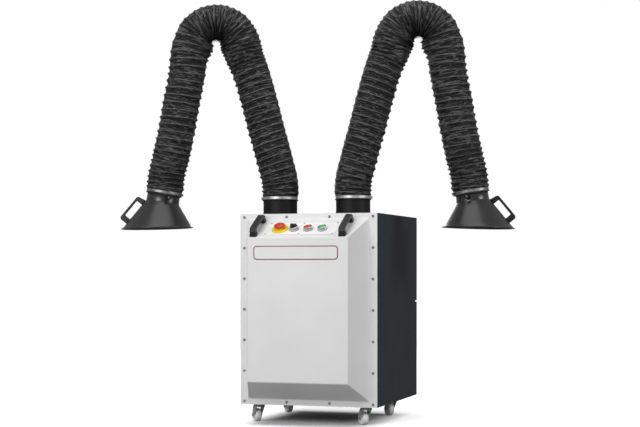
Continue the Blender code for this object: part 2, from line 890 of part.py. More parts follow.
def make_fan_impeller(cabinet):
    """Back plate, hub, backward-curved blades and shroud ring in one balanced wheel."""
    low, high = FAN_HOUSING_Z
    floor = low + 0.010
    roof = high - 0.012
    wheel = turned(
        "fan_impeller",
        [
            (0.0, floor + 0.040),
            (0.022, floor + 0.040),
            (0.030, floor + 0.003),
            (IMPELLER_RADIUS, floor + 0.003),
            (IMPELLER_RADIUS, floor),
            (0.0120, floor),
            (0.0120, low - 0.026),
            (0.0, low - 0.026),
        ],
        CAP_SIDES,
    )
    ring = turned(
        "impeller_shroud",
        [
            (FAN_INLET_RADIUS, roof),
            (IMPELLER_RADIUS, roof - 0.020),
            (IMPELLER_RADIUS, roof - 0.023),
            (FAN_INLET_RADIUS, roof - 0.003),
        ],
        CAP_SIDES,
    )
    wheel.data.transform(Matrix.Translation((0, FAN_Y, 0)))
    ring.data.transform(Matrix.Translation((0, FAN_Y, 0)))
    blade_height = roof - floor - 0.0190
    for number in range(BLADE_COUNT):
        turn = Matrix.Rotation(2 * math.pi * number / BLADE_COUNT, 4, "Z")
        outer = arc((0.040, -0.070), 0.100, 75, 12, 2)
        inner = arc((0.040, -0.070), 0.097, 12, 75, 2)
        blade = plate(
            f"blade_{number}",
            outer + inner,
            blade_height,
            Matrix.Translation((0, FAN_Y, floor + 0.0015 + blade_height / 2)) @ turn,
        )
        fuse(wheel, blade)
    fuse(wheel, ring)
    return keep(wheel, "zinc", cabinet, (0, FAN_Y, low))


def make_fan_motor(cabinet):
    """A flange motor hung under the fan housing, with cooling ribs round its case."""
    top = FAN_HOUSING_Z[0] - GAP
    profile = [(0.105, top), (0.105, top - 0.010), (0.078, top - 0.014)]
    for rib in range(2):
        z = top - 0.050 - rib * 0.050
        profile += [(0.078, z), (0.088, z - 0.002), (0.088, z - 0.008), (0.078, z - 0.010)]
    profile += [(0.078, top - 0.160), (0.088, top - 0.165), (0.088, top - 0.195)]
    profile += [(0.060, top - 0.205), (0.0, top - 0.205)]
    profile += [(0.0, top - 0.032), (0.0145, top - 0.032), (0.0145, top)]
    motor = turned("fan_motor", profile, CAP_SIDES)
    motor.data.transform(Matrix.Translation((0, FAN_Y, 0)))
    return keep(motor, "motor_paint", cabinet)


# Casters: origin on the swivel axis at the floor, +X towards the trailing wheel
def make_caster(cabinet, name, x, y):
    corner = empty_at(f"{name}_corner", (x, y, -CASTER_HEIGHT), parent=cabinet)
    top = CASTER_HEIGHT - GAP
    plate_piece = box(
        f"caster_plate_{name}",
        (-0.0475, -0.0335, top - 0.003),
        (0.0475, 0.0335, top),
    )
    cup = turned(
        f"caster_cup_{name}",
        [(0.0, top - 0.002), (0.025, top - 0.002), (0.028, top - 0.011), (0.0, top - 0.011)],
        CAP_SIDES,
    )
    fuse(plate_piece, cup)
    keep(plate_piece, "zinc", corner)

    swivel = empty_at(f"{name}_swivel", (0, 0, 0), (0, 0, CASTER_TURN), corner)
    crown_top = top - 0.011 - GAP
    fork = turned(
        f"caster_fork_{name}",
        [
            (0.0, crown_top),
            (0.025, crown_top),
            (0.0265, crown_top - 0.006),
            (0.0, crown_top - 0.006),
        ],
        CAP_SIDES,
    )
    outline = [(-0.020, crown_top - 0.001), (0.019, 0.029)]
    outline += arc((CASTER_TRAIL, WHEEL_CENTRE_Z), 0.0085, 200, 360, 3)
    outline += [(0.030, crown_top - 0.014), (0.024, crown_top - 0.001)]
    for number, side in enumerate((-1, 1)):
        leg = plate(
            f"caster_leg_{name}_{number}",
            outline,
            0.0025,
            Matrix.Translation((0, side * 0.0195, 0)) @ Matrix.Rotation(math.pi / 2, 4, "X"),
        )
        head = rod(
            f"axle_head_{name}_{number}",
            (CASTER_TRAIL, side * 0.0200, WHEEL_CENTRE_Z),
            (CASTER_TRAIL, side * 0.0245, WHEEL_CENTRE_Z),
            0.0068,
            6,
        )
        fuse(fork, leg, head)
    axle = rod(
        f"axle_{name}",
        (CASTER_TRAIL, -0.0215, WHEEL_CENTRE_Z),
        (CASTER_TRAIL, 0.0215, WHEEL_CENTRE_Z),
        AXLE_RADIUS,
        PIN_SIDES,
    )
    fuse(fork, axle)
    keep(fork, "zinc", swivel)
    make_wheel(name, swivel)


def make_wheel(name, swivel):
    """A solid nylon wheel with a crowned tread, dished sides and a proud hub."""
    wheel = turned(
        f"caster_wheel_{name}",
        [
            (0.0290, 0.0140),
            (WHEEL_RADIUS, 0.0105),
            (WHEEL_RADIUS, -0.0105),
            (0.0290, -0.0140),
            (0.0120, -0.0170),
            (0.0048, -0.0170),
            (0.0048, 0.0170),
            (0.0120, 0.0170),
        ],
        WHEEL_SIDES,
    )
    half_facet = Matrix.Rotation(math.pi / WHEEL_SIDES, 4, "Z")
    centre = (CASTER_TRAIL, 0, WHEEL_CENTRE_Z)
    upright = Matrix.Rotation(math.pi / 2, 4, "X")
    wheel.data.transform(Matrix.Translation(centre) @ upright @ half_facet)
    keep(wheel, "nylon", swivel, centre)


# Arms. camera_side is the sign of the arm's y axis on the side that faces the viewer
def in_arm(point, y=0.0):
    return (point[0], y, point[1])


def neck_matrix():
    """Frame of the hood's neck: z up its axis, x outward, origin at the foot of the neck."""
    return Matrix.Translation(in_arm(HOOD_JUNCTION)) @ Matrix.Rotation(-HOOD_TILT, 4, "Y")


def wrist_point():
    place = neck_matrix() @ Vector((0, 0, WRIST_RISE))
    return (place.x, place.z)


def hose_end():
    place = neck_matrix() @ Vector((0, 0, NECK_LENGTH + GAP))
    return (place.x, place.z)


def smooth_route(points, first_heading, last_heading, steps):
    """Points on a smooth curve through all points, with given headings at its two ends."""
    points = [Vector(point) for point in points]
    headings = [first_heading]
    for before, point, after in zip(points, points[1:], points[2:]):
        arriving = point - before
        leaving = after - point
        turn = arriving.normalized() * leaving.length + leaving.normalized() * arriving.length
        headings.append(turn.normalized())
    headings.append(last_heading)
    route = []
    for number, (here, there) in enumerate(zip(points, points[1:])):
        length = (there - here).length
        for step in range(steps):
            t = step / steps
            route.append(
                (2 * t**3 - 3 * t**2 + 1) * here
                + (3 * t**2 - 2 * t**3) * there
                + (t**3 - 2 * t**2 + t) * length * headings[number]
                + (t**3 - t**2) * length * headings[number + 1]
            )
    route.append(points[-1])
    return route


def hose_route():
    """The hose's centre line from its lower end to the hood, as closely spaced points."""
    start = Vector((0.0, COLLAR_TOP + GAP))
    end = Vector(hose_end())
    rise = Vector((0.0, 1.0))
    fall = Vector((math.sin(HOOD_TILT), -math.cos(HOOD_TILT)))
    start_run = start + rise * HOSE_STRAIGHT
    end_run = end - fall * HOSE_STRAIGHT
    bend = [arc(BEND_CENTRE, BEND_RADIUS, angle, angle, 1)[0] for angle in BEND_ANGLES]
    middle = [start_run, *LOWER_LEG, *bend, *UPPER_LEG, end_run]
    return [start, *smooth_route(middle, rise, fall, 12), end]


def even_points(route, count):
    """count + 1 points at equal distances along a route."""
    lengths = [0.0]
    for first, second in zip(route, route[1:]):
        lengths.append(lengths[-1] + (second - first).length)
    points = []
    piece = 0
    for number in range(count + 1):
        wanted = lengths[-1] * number / count
        while piece < len(route) - 2 and lengths[piece + 1] < wanted:
            piece += 1
        share = (wanted - lengths[piece]) / (lengths[piece + 1] - lengths[piece])
        points.append(route[piece].lerp(route[piece + 1], min(share, 1.0)))
    return points


def route_length(route):
    return sum((second - first).length for first, second in zip(route, route[1:]))


def make_hose(name, lower_arm):
    route = hose_route()
    ribs = round(route_length(route) / RIB_PITCH)
    skin = even_points(route, 2 * ribs)
    radii = [HOSE_RIDGE / HOSE_VALLEY if number % 2 else 1.0 for number in range(len(skin))]
    hose = pipe(name, [in_arm(point) for point in skin], HOSE_VALLEY, radii, 2)
    overrun = 0.010
    inside = even_points(route, ribs)
    inside[0] = inside[0] - Vector((0, overrun))
    inside[-1] = inside[-1] + Vector((math.sin(HOOD_TILT), -math.cos(HOOD_TILT))) * overrun
    bore = pipe(f"{name}_bore", [in_arm(point) for point in inside], HOSE_BORE, None, 2)
    cut(hose, bore)
    return keep(hose, "hose_fabric", lower_arm, in_arm(SHOULDER))


def clamp_ring(name, matrix, band, screw_angle):
    """A worm-drive clamp: a thin band and its screw housing at an angle round the ring."""
    low, high = band
    inner = DUCT_RADIUS + 0.0007
    ring = turned(
        name,
        [(BAND_RADIUS, high), (BAND_RADIUS, low), (inner, low), (inner, high)],
        DUCT_SIDES,
    )
    middle = (low + high) / 2
    housing = box(
        f"{name}_housing",
        (BAND_RADIUS - 0.0007, -0.011, middle - 0.0055),
        (0.0905, 0.011, middle + 0.0055),
    )
    screw = rod(f"{name}_screw", (0.0870, 0.009, middle), (0.0870, 0.019, middle), 0.0038, 8)
    fuse(housing, screw)
    housing = as_mesh_with_tools(housing)
    housing.data.transform(Matrix.Rotation(screw_angle, 4, "Z"))
    fuse(ring, housing)
    for item in (ring, housing):
        item.data.transform(matrix)
    return ring


def as_mesh_with_tools(piece):
    """Settle a piece's Boolean modifiers and remove the tools that they used."""
    tools = [modifier.object for modifier in piece.modifiers]
    solid = as_mesh(piece)
    for tool in tools:
        bpy.data.objects.remove(tool, do_unlink=True)
    return solid


def fork_and_pin(target, base, pivot):
    """Two ears from a base point to past the pivot, and the pin between them."""
    base = Vector(base)
    pivot = Vector(pivot)
    along = (pivot - base).normalized()
    heading = math.degrees(math.atan2(along.y, along.x))
    across = Vector((-along.y, along.x)) * EYE_RADIUS * 0.94
    outline = [tuple(base - across)]
    outline += arc(pivot, EYE_RADIUS * 0.94, heading - 90, heading + 90, 4)
    outline += [tuple(base + across)]
    for number, side in enumerate((-1, 1)):
        middle = side * (EAR_GAP + EAR_THICKNESS / 2)
        ear = plate(
            f"{target.name}_ear_{number}",
            outline,
            EAR_THICKNESS,
            Matrix.Translation((0, middle, 0)) @ Matrix.Rotation(math.pi / 2, 4, "X"),
        )
        fuse(target, ear)
    reach = EAR_GAP + EAR_THICKNESS + 0.004
    start = in_arm(pivot, -reach)
    end = in_arm(pivot, reach)
    fuse(target, rod(f"{target.name}_pin", start, end, PIN_RADIUS, PIN_SIDES))


def eye(target, pivot, toward):
    """A flat lug with a bored eye, which swings on a fork's pin."""
    pivot = Vector(pivot)
    along = (Vector(toward) - pivot).normalized()
    heading = math.degrees(math.atan2(along.y, along.x))
    end = pivot + along * LUG_LENGTH
    across = Vector((-along.y, along.x)) * LINK_RADIUS * 0.9
    outline = arc(pivot, EYE_RADIUS, heading + 45, heading + 315, 6)
    outline += [tuple(end - across), tuple(end + across)]
    lug = plate(
        f"{target.name}_lug_{round(heading)}",
        outline,
        2 * EYE_HALF,
        Matrix.Rotation(math.pi / 2, 4, "X"),
    )
    fuse(target, lug)
    name = f"{target.name}_eye_{round(heading)}"
    drill(target, name, in_arm(pivot), ALONG_Y, PIN_RADIUS + 0.0007)


def step_toward(start, goal, distance):
    start = Vector(start)
    return start + (Vector(goal) - start).normalized() * distance


def make_swivel_flange(arm, name):
    """A turned housing under the top panel, in which the collar's lip turns."""
    ring = turned(
        name,
        [
            (0.1050, BODY_HEIGHT - SHEET - GAP),
            (0.1050, 0.850),
            (DUCT_RADIUS + 0.0035, 0.850),
            (DUCT_RADIUS + 0.0035, 0.862),
            (0.0960, 0.862),
            (0.0960, BODY_HEIGHT - SHEET - GAP),
        ],
        DUCT_SIDES,
    )
    return keep(ring, "zinc", arm)


def make_collar(arm, name):
    """The turning duct collar with the bracket that carries the arm's shoulder."""
    inner = DUCT_RADIUS - 0.0025
    collar = turned(
        name,
        [
            (DUCT_RADIUS, COLLAR_TOP),
            (DUCT_RADIUS, 0.8685),
            (0.0925, 0.8685),
            (0.0925, 0.8625),
            (inner, 0.8625),
            (inner, COLLAR_TOP),
        ],
        DUCT_SIDES,
    )
    bridge = box(f"{name}_bridge", (-inner - 0.001, -0.013, 0.925), (inner + 0.001, 0.013, 0.931))
    fuse(collar, bridge)
    fork_and_pin(collar, (0.0, 0.928), SHOULDER)
    return keep(collar, "black_paint", arm)


def make_lower_arm(collar, name):
    tube_end = step_toward(ELBOW, LOWER_CRANK, LUG_LENGTH * 0.75)
    corners = [step_toward(SHOULDER, LOWER_CRANK, LUG_LENGTH * 0.75), LOWER_CRANK, tube_end]
    path = rounded_path([in_arm(point) for point in corners], CRANK_BEND, 2)
    link = pipe(name, path, LINK_RADIUS, None, 2)
    eye(link, SHOULDER, LOWER_CRANK)
    fork_and_pin(link, step_toward(ELBOW, LOWER_CRANK, LUG_LENGTH * 1.3), ELBOW)
    return keep(link, "zinc", collar, in_arm(SHOULDER))


def make_upper_arm(lower_arm, name):
    wrist = wrist_point()
    tube_end = step_toward(wrist, UPPER_CRANK, LUG_LENGTH * 0.75)
    corners = [step_toward(ELBOW, UPPER_CRANK, LUG_LENGTH * 0.75), UPPER_CRANK, tube_end]
    path = rounded_path([in_arm(point) for point in corners], CRANK_BEND, 2)
    link = pipe(name, path, LINK_RADIUS, None, 2)
    eye(link, ELBOW, UPPER_CRANK)
    eye(link, wrist, UPPER_CRANK)
    return keep(link, "zinc", lower_arm, in_arm(ELBOW))


def ring_points(centre, radius, tilt):
    """A level or tilted ring round an arm's hood, as points in the arm's frame."""
    matrix = Matrix.Translation(in_arm(centre)) @ Matrix.Rotation(-tilt, 4, "Y")
    angles = [2 * math.pi * number / HOOD_SIDES for number in range(HOOD_SIDES)]
    return [matrix @ Vector((radius * math.cos(a), radius * math.sin(a), 0)) for a in angles]


def neck_top():
    place = neck_matrix() @ Vector((0, 0, NECK_LENGTH))
    return (place.x, place.z)


def make_hood(upper_arm, name, camera_side):
    """An oblique cone from the neck to the wide mouth, lofted between unlike rings."""
    rings = [
        ring_points(neck_top(), NECK_RADIUS, HOOD_TILT),
        ring_points(HOOD_JUNCTION, NECK_RADIUS, HOOD_TILT),
        ring_points(MOUTH_CENTRE, MOUTH_RADIUS, MOUTH_TILT),
    ]
    bm = bmesh.new()
    loops = [[bm.verts.new(point) for point in ring] for ring in rings]
    for upper, lower in zip(loops, loops[1:]):
        for index in range(HOOD_SIDES):
            following = (index + 1) % HOOD_SIDES
            bm.faces.new((upper[index], lower[index], lower[following], upper[following]))
    hood = mesh_object(name, bm)
    thicken(hood, HOOD_WALL)
    add_hood_bracket(hood)
    hole = rod(f"{name}_spindle_hole", (0, -0.1, 0), (0, 0.1, 0), SPINDLE_RADIUS + 0.001, PIN_SIDES)
    hole.data.transform(damper_matrix(camera_side))
    cut(hood, hole)
    return keep(hood, "black_paint", upper_arm, in_arm(wrist_point()))


def add_hood_bracket(hood):
    """A bridge over the damper, from the neck's wall up to the wrist's fork."""
    bridge_low = DAMPER_RISE + DAMPER_RADIUS + 0.004
    post_foot = DAMPER_RISE + 0.0265
    for number, side in enumerate((-1, 1)):
        near, far = sorted((side * 0.0640, side * 0.0690))
        post = box(
            f"{hood.name}_post_{number}",
            (-0.009, near, post_foot),
            (0.009, far, bridge_low + 0.006),
        )
        near, far = sorted((side * 0.0645, side * (NECK_RADIUS - HOOD_WALL / 2)))
        foot = box(
            f"{hood.name}_foot_{number}",
            (-0.008, near, post_foot - 0.0005),
            (0.008, far, post_foot + 0.0045),
        )
        for item in (post, foot):
            item.data.transform(neck_matrix())
        fuse(hood, foot, post)
    bridge = box(
        f"{hood.name}_bridge",
        (-0.010, -0.0680, bridge_low),
        (0.010, 0.0680, bridge_low + 0.0055),
    )
    bridge.data.transform(neck_matrix())
    fuse(hood, bridge)
    base = neck_matrix() @ Vector((0, 0, bridge_low + 0.002))
    fork_and_pin(hood, (base.x, base.z), wrist_point())


def damper_matrix(camera_side):
    """Frame of the damper: y along its spindle towards the knob, z up the neck."""
    turn = DAMPER_TURN if camera_side > 0 else math.pi - DAMPER_TURN
    return neck_matrix() @ Matrix.Translation((0, 0, DAMPER_RISE)) @ Matrix.Rotation(turn, 4, "Z")


def make_damper(hood, name, knob_name, camera_side):
    """The round flap on its spindle, standing open, and the knob that turns it."""
    matrix = damper_matrix(camera_side)
    flap = rod(name, (-0.001, 0, 0), (0.001, 0, 0), DAMPER_RADIUS, DUCT_SIDES)
    spindle = rod(f"{name}_spindle", (0, -0.0790, 0), (0, 0.0850, 0), SPINDLE_RADIUS, PIN_SIDES)
    fuse(flap, spindle)
    for item in (flap, spindle):
        item.data.transform(matrix)
    pivot = tuple(matrix.translation)
    keep(flap, "zinc", hood, pivot)
    knob = turned(
        knob_name,
        [
            (0.0, 0.018),
            (0.0110, 0.018),
            (0.0130, 0.016),
            (0.0130, 0.003),
            (0.0110, 0.0),
            (SPINDLE_RADIUS + GAP, 0.0),
            (SPINDLE_RADIUS + GAP, 0.008),
            (0.0, 0.008),
        ],
        CAP_SIDES,
    )
    outside = Matrix.Translation((0, NECK_RADIUS + 0.0010, 0))
    knob.data.transform(matrix @ outside @ Matrix.Rotation(-math.pi / 2, 4, "X"))
    keep(knob, "black_plastic", flap, pivot)


def hood_handle_matrix():
    """Frame on the outermost line of the cone: x down the cone, y across, z outward."""
    upper = Vector(ring_points(HOOD_JUNCTION, NECK_RADIUS, HOOD_TILT)[0])
    lower = Vector(ring_points(MOUTH_CENTRE, MOUTH_RADIUS, MOUTH_TILT)[0])
    along = (lower - upper).normalized()
    outward = Vector((-along.z, 0, along.x))
    frame = Matrix((along, (0, 1, 0), outward)).transposed().to_4x4()
    frame.translation = upper
    return frame


def make_hood_handle(hood, name):
    """A flat moulded grip: two thick legs with rounded shoulders and a slimmer bar."""
    first, last = HOOD_HANDLE_ENDS
    corner = HOOD_HANDLE_CORNER
    shoulder = HOOD_HANDLE_REACH - corner
    underside = HOOD_HANDLE_REACH - HOOD_HANDLE_BAR
    foot = 0.0005
    start = first + HOOD_HANDLE_LEG
    end = last - HOOD_HANDLE_LEG
    outline = [(first, foot)]
    outline += arc((first + 0.006 + corner, shoulder), corner, 180, 90, 3)
    outline += arc((last - corner, shoulder), corner, 90, 0, 3)
    outline += [(last, foot), (end, foot), (end, underside - 0.005), (end - 0.005, underside)]
    outline += [(start + 0.005, underside), (start, underside - 0.005), (start, foot)]
    grip = plate(name, outline, HOOD_HANDLE_WIDTH, Matrix.Rotation(math.pi / 2, 4, "X"))
    grip.data.transform(hood_handle_matrix())
    return keep(grip, "black_plastic", hood, in_arm(wrist_point()))


def make_arm(cabinet, word, side):
    """One arm, built outward along +X of its own frame. side is -1 for left and 1 for right."""
    turn = ARM_TURN if side > 0 else math.pi + ARM_TURN
    arm = empty_at(f"{word}_arm_axis", (side * ARM_X, ARM_Y, 0), (0, 0, turn), cabinet)
    camera_side = -side
    make_swivel_flange(arm, f"{word}_swivel_flange")
    collar = make_collar(arm, f"{word}_base_collar")
    base_band = (COLLAR_TOP - 0.001 - BAND_HEIGHT, COLLAR_TOP - 0.001)
    base_clamp = clamp_ring(f"{word}_base_clamp", Matrix.Identity(4), base_band, 0.0)
    keep(base_clamp, "bright_metal", collar)
    lower_arm = make_lower_arm(collar, f"{word}_lower_arm")
    make_hose(f"{word}_hose", lower_arm)
    upper_arm = make_upper_arm(lower_arm, f"{word}_upper_arm")
    hood = make_hood(upper_arm, f"{word}_hood", camera_side)
    hood_band = (NECK_LENGTH - 0.001 - BAND_HEIGHT, NECK_LENGTH - 0.001)
    hood_clamp = clamp_ring(f"{word}_hood_clamp", neck_matrix(), hood_band, math.pi)
    keep(hood_clamp, "bright_metal", hood, in_arm(wrist_point()))
    make_hood_handle(hood, f"{word}_hood_handle")
    make_damper(hood, f"{word}_damper_flap", f"{word}_damper_knob", camera_side)


def main():
    cabinet = empty_at("cabinet_frame", (0, FRONT_PLANE_Y, CASTER_HEIGHT))
    make_base_pan(cabinet)
    make_side_panel(cabinet, "left_side_panel", -1)
    make_side_panel(cabinet, "right_side_panel", 1)
    make_top_panel(cabinet)
    make_front_cover(cabinet)

    slope = empty_at("control_slope", slope_origin(), (SLOPE_ANGLE, 0, 0), cabinet)
    make_control_plate(slope)
    make_estop(slope)
    make_bezel(slope, "selector_bezel", SELECTOR_X)
    make_bezel(slope, "stop_bezel", STOP_X)
    make_bezel(slope, "start_bezel", START_X)
    make_selector_knob(slope)
    make_push_button(slope, "stop_button", STOP_X, "red_plastic")
    make_push_button(slope, "start_button", START_X, "green_plastic")
    make_front_handle(slope, "left_front_handle", -FRONT_HANDLE_X)
    make_front_handle(slope, "right_front_handle", FRONT_HANDLE_X)

    door = make_filter_door(cabinet)
    make_door_latch(door)
    make_rear_panel(cabinet)
    make_power_inlet(cabinet)
    make_partition(cabinet)
    make_filter_cartridge(cabinet)
    make_filter_cap(cabinet)
    make_fan_housing(cabinet)
    make_fan_impeller(cabinet)
    make_fan_motor(cabinet)

    make_caster(cabinet, "front_left", -CASTER_X, CASTER_FRONT_Y)
    make_caster(cabinet, "front_right", CASTER_X, CASTER_FRONT_Y)
    make_caster(cabinet, "rear_left", -CASTER_X, CASTER_REAR_Y)
    make_caster(cabinet, "rear_right", CASTER_X, CASTER_REAR_Y)

    make_arm(cabinet, "left", -1)
    make_arm(cabinet, "right", 1)


main()
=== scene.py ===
# Looks of the mobile welding fume extractor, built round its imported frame.
# Metres, +Z up. The cabinet faces -Y, and the floor is at z = 0.

import json
import math

import bmesh
import bpy
from mathutils import Matrix, Vector, noise

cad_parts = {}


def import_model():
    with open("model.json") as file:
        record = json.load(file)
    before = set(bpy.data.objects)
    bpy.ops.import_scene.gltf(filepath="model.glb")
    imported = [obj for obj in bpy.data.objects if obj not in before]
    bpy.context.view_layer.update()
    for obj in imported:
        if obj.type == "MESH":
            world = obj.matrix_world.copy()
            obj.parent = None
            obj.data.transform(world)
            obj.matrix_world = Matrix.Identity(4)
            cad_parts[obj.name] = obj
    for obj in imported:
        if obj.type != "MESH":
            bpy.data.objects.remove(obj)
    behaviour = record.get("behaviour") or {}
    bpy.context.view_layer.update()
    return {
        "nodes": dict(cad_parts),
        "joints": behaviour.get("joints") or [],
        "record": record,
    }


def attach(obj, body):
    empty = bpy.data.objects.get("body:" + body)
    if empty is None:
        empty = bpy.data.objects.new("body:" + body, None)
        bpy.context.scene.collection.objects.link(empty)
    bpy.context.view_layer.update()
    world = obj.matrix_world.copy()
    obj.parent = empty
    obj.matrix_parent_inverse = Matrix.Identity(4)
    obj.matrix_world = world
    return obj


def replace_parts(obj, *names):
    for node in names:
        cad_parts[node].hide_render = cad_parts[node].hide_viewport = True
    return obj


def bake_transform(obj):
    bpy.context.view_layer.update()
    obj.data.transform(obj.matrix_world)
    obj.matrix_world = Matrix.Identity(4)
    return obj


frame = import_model()

# Cabinet and its sloped control panel
GAP = 0.0003
HALF_WIDTH = 0.3325
FRONT_PLANE_Y = -0.2740
CASTER_HEIGHT = 0.088
BODY_HEIGHT = 0.890
SHEET = 0.002
BULGE_DEPTH = 0.159
RIM_SIDE = 0.0392
RIM_TOP = 0.0224
RIM_BOTTOM = 0.0286
SLOPE_TOP = 0.0893
SLOPE_ANGLE = math.atan2(SLOPE_TOP, BULGE_DEPTH)
COVER_FACE_Y = FRONT_PLANE_Y - SHEET - GAP
RAISED_FACE_Y = COVER_FACE_Y - BULGE_DEPTH
PLATE_TOP = 0.0023
PLATE_Y = -0.013
CONTROL_SPACING = 0.0674
CONTROL_Y = -0.021
CONTROL_SEAT = PLATE_TOP + GAP
BARREL_RADIUS = 0.0149
CONTROL_SIDES = 64

# Turns a flat outline upright, to face -Y
STANDING = Matrix.Rotation(math.pi / 2, 4, "X")

# Screws, as (radius, height)
COVER_SCREW = (0.0066, 0.0036)
PLATE_SCREW = (0.0042, 0.0022)
DAMPER_SCREW = (0.0050, 0.0026)
PLATE_SCREW_COLUMNS = (-0.160, 0.0, 0.160)
PLATE_SCREW_REACH = 0.051
TOP_SCREW_INSET = 0.0155

# Sign's place on the raised face: a border and a field, each as (width, height, corner, low, high)
BADGE_CENTRE = (-0.0075, 0.7950)
BADGE_BORDER = (0.404, 0.064, 0.0165, 0.0, 0.0010)
BADGE_FIELD = (0.395, 0.055, 0.0125, 0.0010, 0.0016)

# Grips beside the controls
HANDLE_X = 0.212
HANDLE_FEET = (-0.077, 0.057)
HANDLE_TOP = 0.0410
HANDLE_SHOULDER = 0.0280
HANDLE_UNDERSIDE = 0.0265
HANDLE_WIDTH = 0.028
FOOT_BASE = (0.035, 0.026)
FOOT_TOP = (0.030, 0.0245)
FOOT_HEIGHT = 0.016

# Arms. Points in an arm are (outward, up) from the foot of its swivel axis
ARM_X = 0.180
ARM_Y = -0.147
ARM_TURN = math.radians(17.7)
COLLAR_TOP = 0.975
DUCT_RADIUS = 0.080
HOOD_TILT = math.radians(9)
HOOD_JUNCTION = (0.558, 0.951)
NECK_RADIUS = 0.0778
NECK_LENGTH = 0.0537
MOUTH_CENTRE = (0.584, 0.824)
MOUTH_RADIUS = 0.170
MOUTH_TILT = math.radians(-1.4)
WRIST_RISE = 0.125
PIN_RADIUS = 0.006
EAR_RADIUS = 0.016
DAMPER_RISE = 0.022
DAMPER_TURN = math.radians(21)
DUCT_SIDES = 96
BAND_HEIGHT = 0.013
HOOD_SHEET = 0.0016
HOOD_BEAD = 0.0026
KNOB_LOBES = 8
KNOB_RADIUS = 0.0124
KNOB_LOBE_DEPTH = 0.0008

# Flat moulded grip on each hood
GRIP_ENDS = (0.006, 0.150)
GRIP_LEG = 0.028
GRIP_REACH = 0.042
GRIP_BAR = 0.0106
GRIP_CORNER = 0.013
GRIP_WIDTH = 0.020

# Hose: fabric over a wire helix
HOSE_RIDGES = (0.0893, 0.0925)
HOSE_SAG = 0.0105
BEND_GATHER = 0.020
GATHER_PLACE = 0.17
GATHER_LENGTH = 0.07
CUFF_RADIUS = 0.0822
CUFF_LENGTH = 0.0195
CUFF_FADE = 0.010
LIP_LENGTH = 0.0066
LIP_HEIGHT = 0.0045
RIB_PITCH = 0.035
TIGHT_STRETCHES = ((0.0, 0.10, 0.0245), (0.66, 1.06, 0.0185), (1.61, 1.80, 0.0245))
TAUT_UNTIL = 0.80
TAUT_FADE = 0.15
TAUT_SHARE = 0.55
LEAST_SLACK = 0.7
UNEVENNESS = 0.15
CREASE_LEANS = (0.9, -2.0)
CREASE_SLANT = 0.050
CREASES_AROUND = 1.1
CREASES_PER_METRE = 46
CREASE_SHARPNESS = 6
CREASE_DEPTH = 0.30
HOSE_SIDES = 84
HOSE_SPACING = 0.0024
BEND_SPAN = 8
LOW_SEAM_HEIGHT = 1.300
HIGH_SEAM_HEIGHT = 1.420
LOWER_LEG = (
    (0.0, 0.980),
    (0.002, 1.030),
    (0.031, 1.161),
    (0.066, 1.290),
    (0.099, 1.420),
    (0.130, 1.530),
    (0.162, 1.628),
)
BEND_CENTRE = (0.302, 1.680)
BEND_RADIUS = 0.120
BEND_ANGLES = (156, 127, 98, 69, 40, 12)
UPPER_LEG = (
    (0.447, 1.537),
    (0.469, 1.420),
    (0.490, 1.302),
    (0.514, 1.184),
    (0.5395, 1.071),
)

# Casters
WHEEL_SIDES = 64

# Studio: the floor is lifted to white, but hardly in a box under the machine, where its real
# shadow is deepened by this painted shadow.
# A lift is (distance from the painted shadow's box, emission)
FLOOR_SIZE = 60
PAINTED_SHADOW_BOX = (0.20, 0.28)
FLOOR_LIFTS = ((0.0, 0.0), (0.17, 0.52), (9.0, 0.72))
FLOOR_SEEN = 0.85
FLOOR_BOUNCE = 0.36
AMBIENT = 0.38

# Camera, at the photograph's viewing angle
CAMERA_PLACE = (2.108, -6.693, 0.729)
CAMERA_HEADING = (-0.3042, 0.9526, 0.0)
CAMERA_LENS = 82.15
CAMERA_SHIFT_Y = 0.0841


# Materials
def shader_nodes(name):
    material = bpy.data.materials.new(name)
    material.use_nodes = True
    nodes = material.node_tree.nodes
    return material, nodes, material.node_tree.links, nodes["Principled BSDF"]


def object_noise(nodes, links, scale, detail=4.0, stretch=(1, 1, 1)):
    """A noise texture in the object's own coordinates, at a scale per metre."""
    place = nodes.new("ShaderNodeTexCoord")
    mapping = nodes.new("ShaderNodeMapping")
    mapping.inputs["Scale"].default_value = stretch
    texture = nodes.new("ShaderNodeTexNoise")
    texture.inputs["Scale"].default_value = scale
    texture.inputs["Detail"].default_value = detail
    links.new(place.outputs["Object"], mapping.inputs["Vector"])
    links.new(mapping.outputs["Vector"], texture.inputs["Vector"])
    return texture.outputs["Fac"]


def spread(nodes, links, source, low, high):
    """Map a texture's middle range to the range from low to high."""
    ramp = nodes.new("ShaderNodeMapRange")
    ramp.inputs["From Min"].default_value = 0.3
    ramp.inputs["From Max"].default_value = 0.7
    ramp.inputs["To Min"].default_value = low
    ramp.inputs["To Max"].default_value = high
    links.new(source, ramp.inputs["Value"])
    return ramp.outputs["Result"]


def tint(nodes, links, source, dark, light):
    """Mix two colours by a texture."""
    mix = nodes.new("ShaderNodeMix")
    mix.data_type = "RGBA"
    mix.inputs["A"].default_value = (*dark, 1)
    mix.inputs["B"].default_value = (*light, 1)
    links.new(source, mix.inputs["Factor"])
    return mix.outputs["Result"]


def bump(nodes, links, height, distance, strength=1.0, below=None):
    node = nodes.new("ShaderNodeBump")
    node.inputs["Distance"].default_value = distance
    node.inputs["Strength"].default_value = strength
    links.new(height, node.inputs["Height"])
    if below is not None:
        links.new(below, node.inputs["Normal"])
    return node.outputs["Normal"]


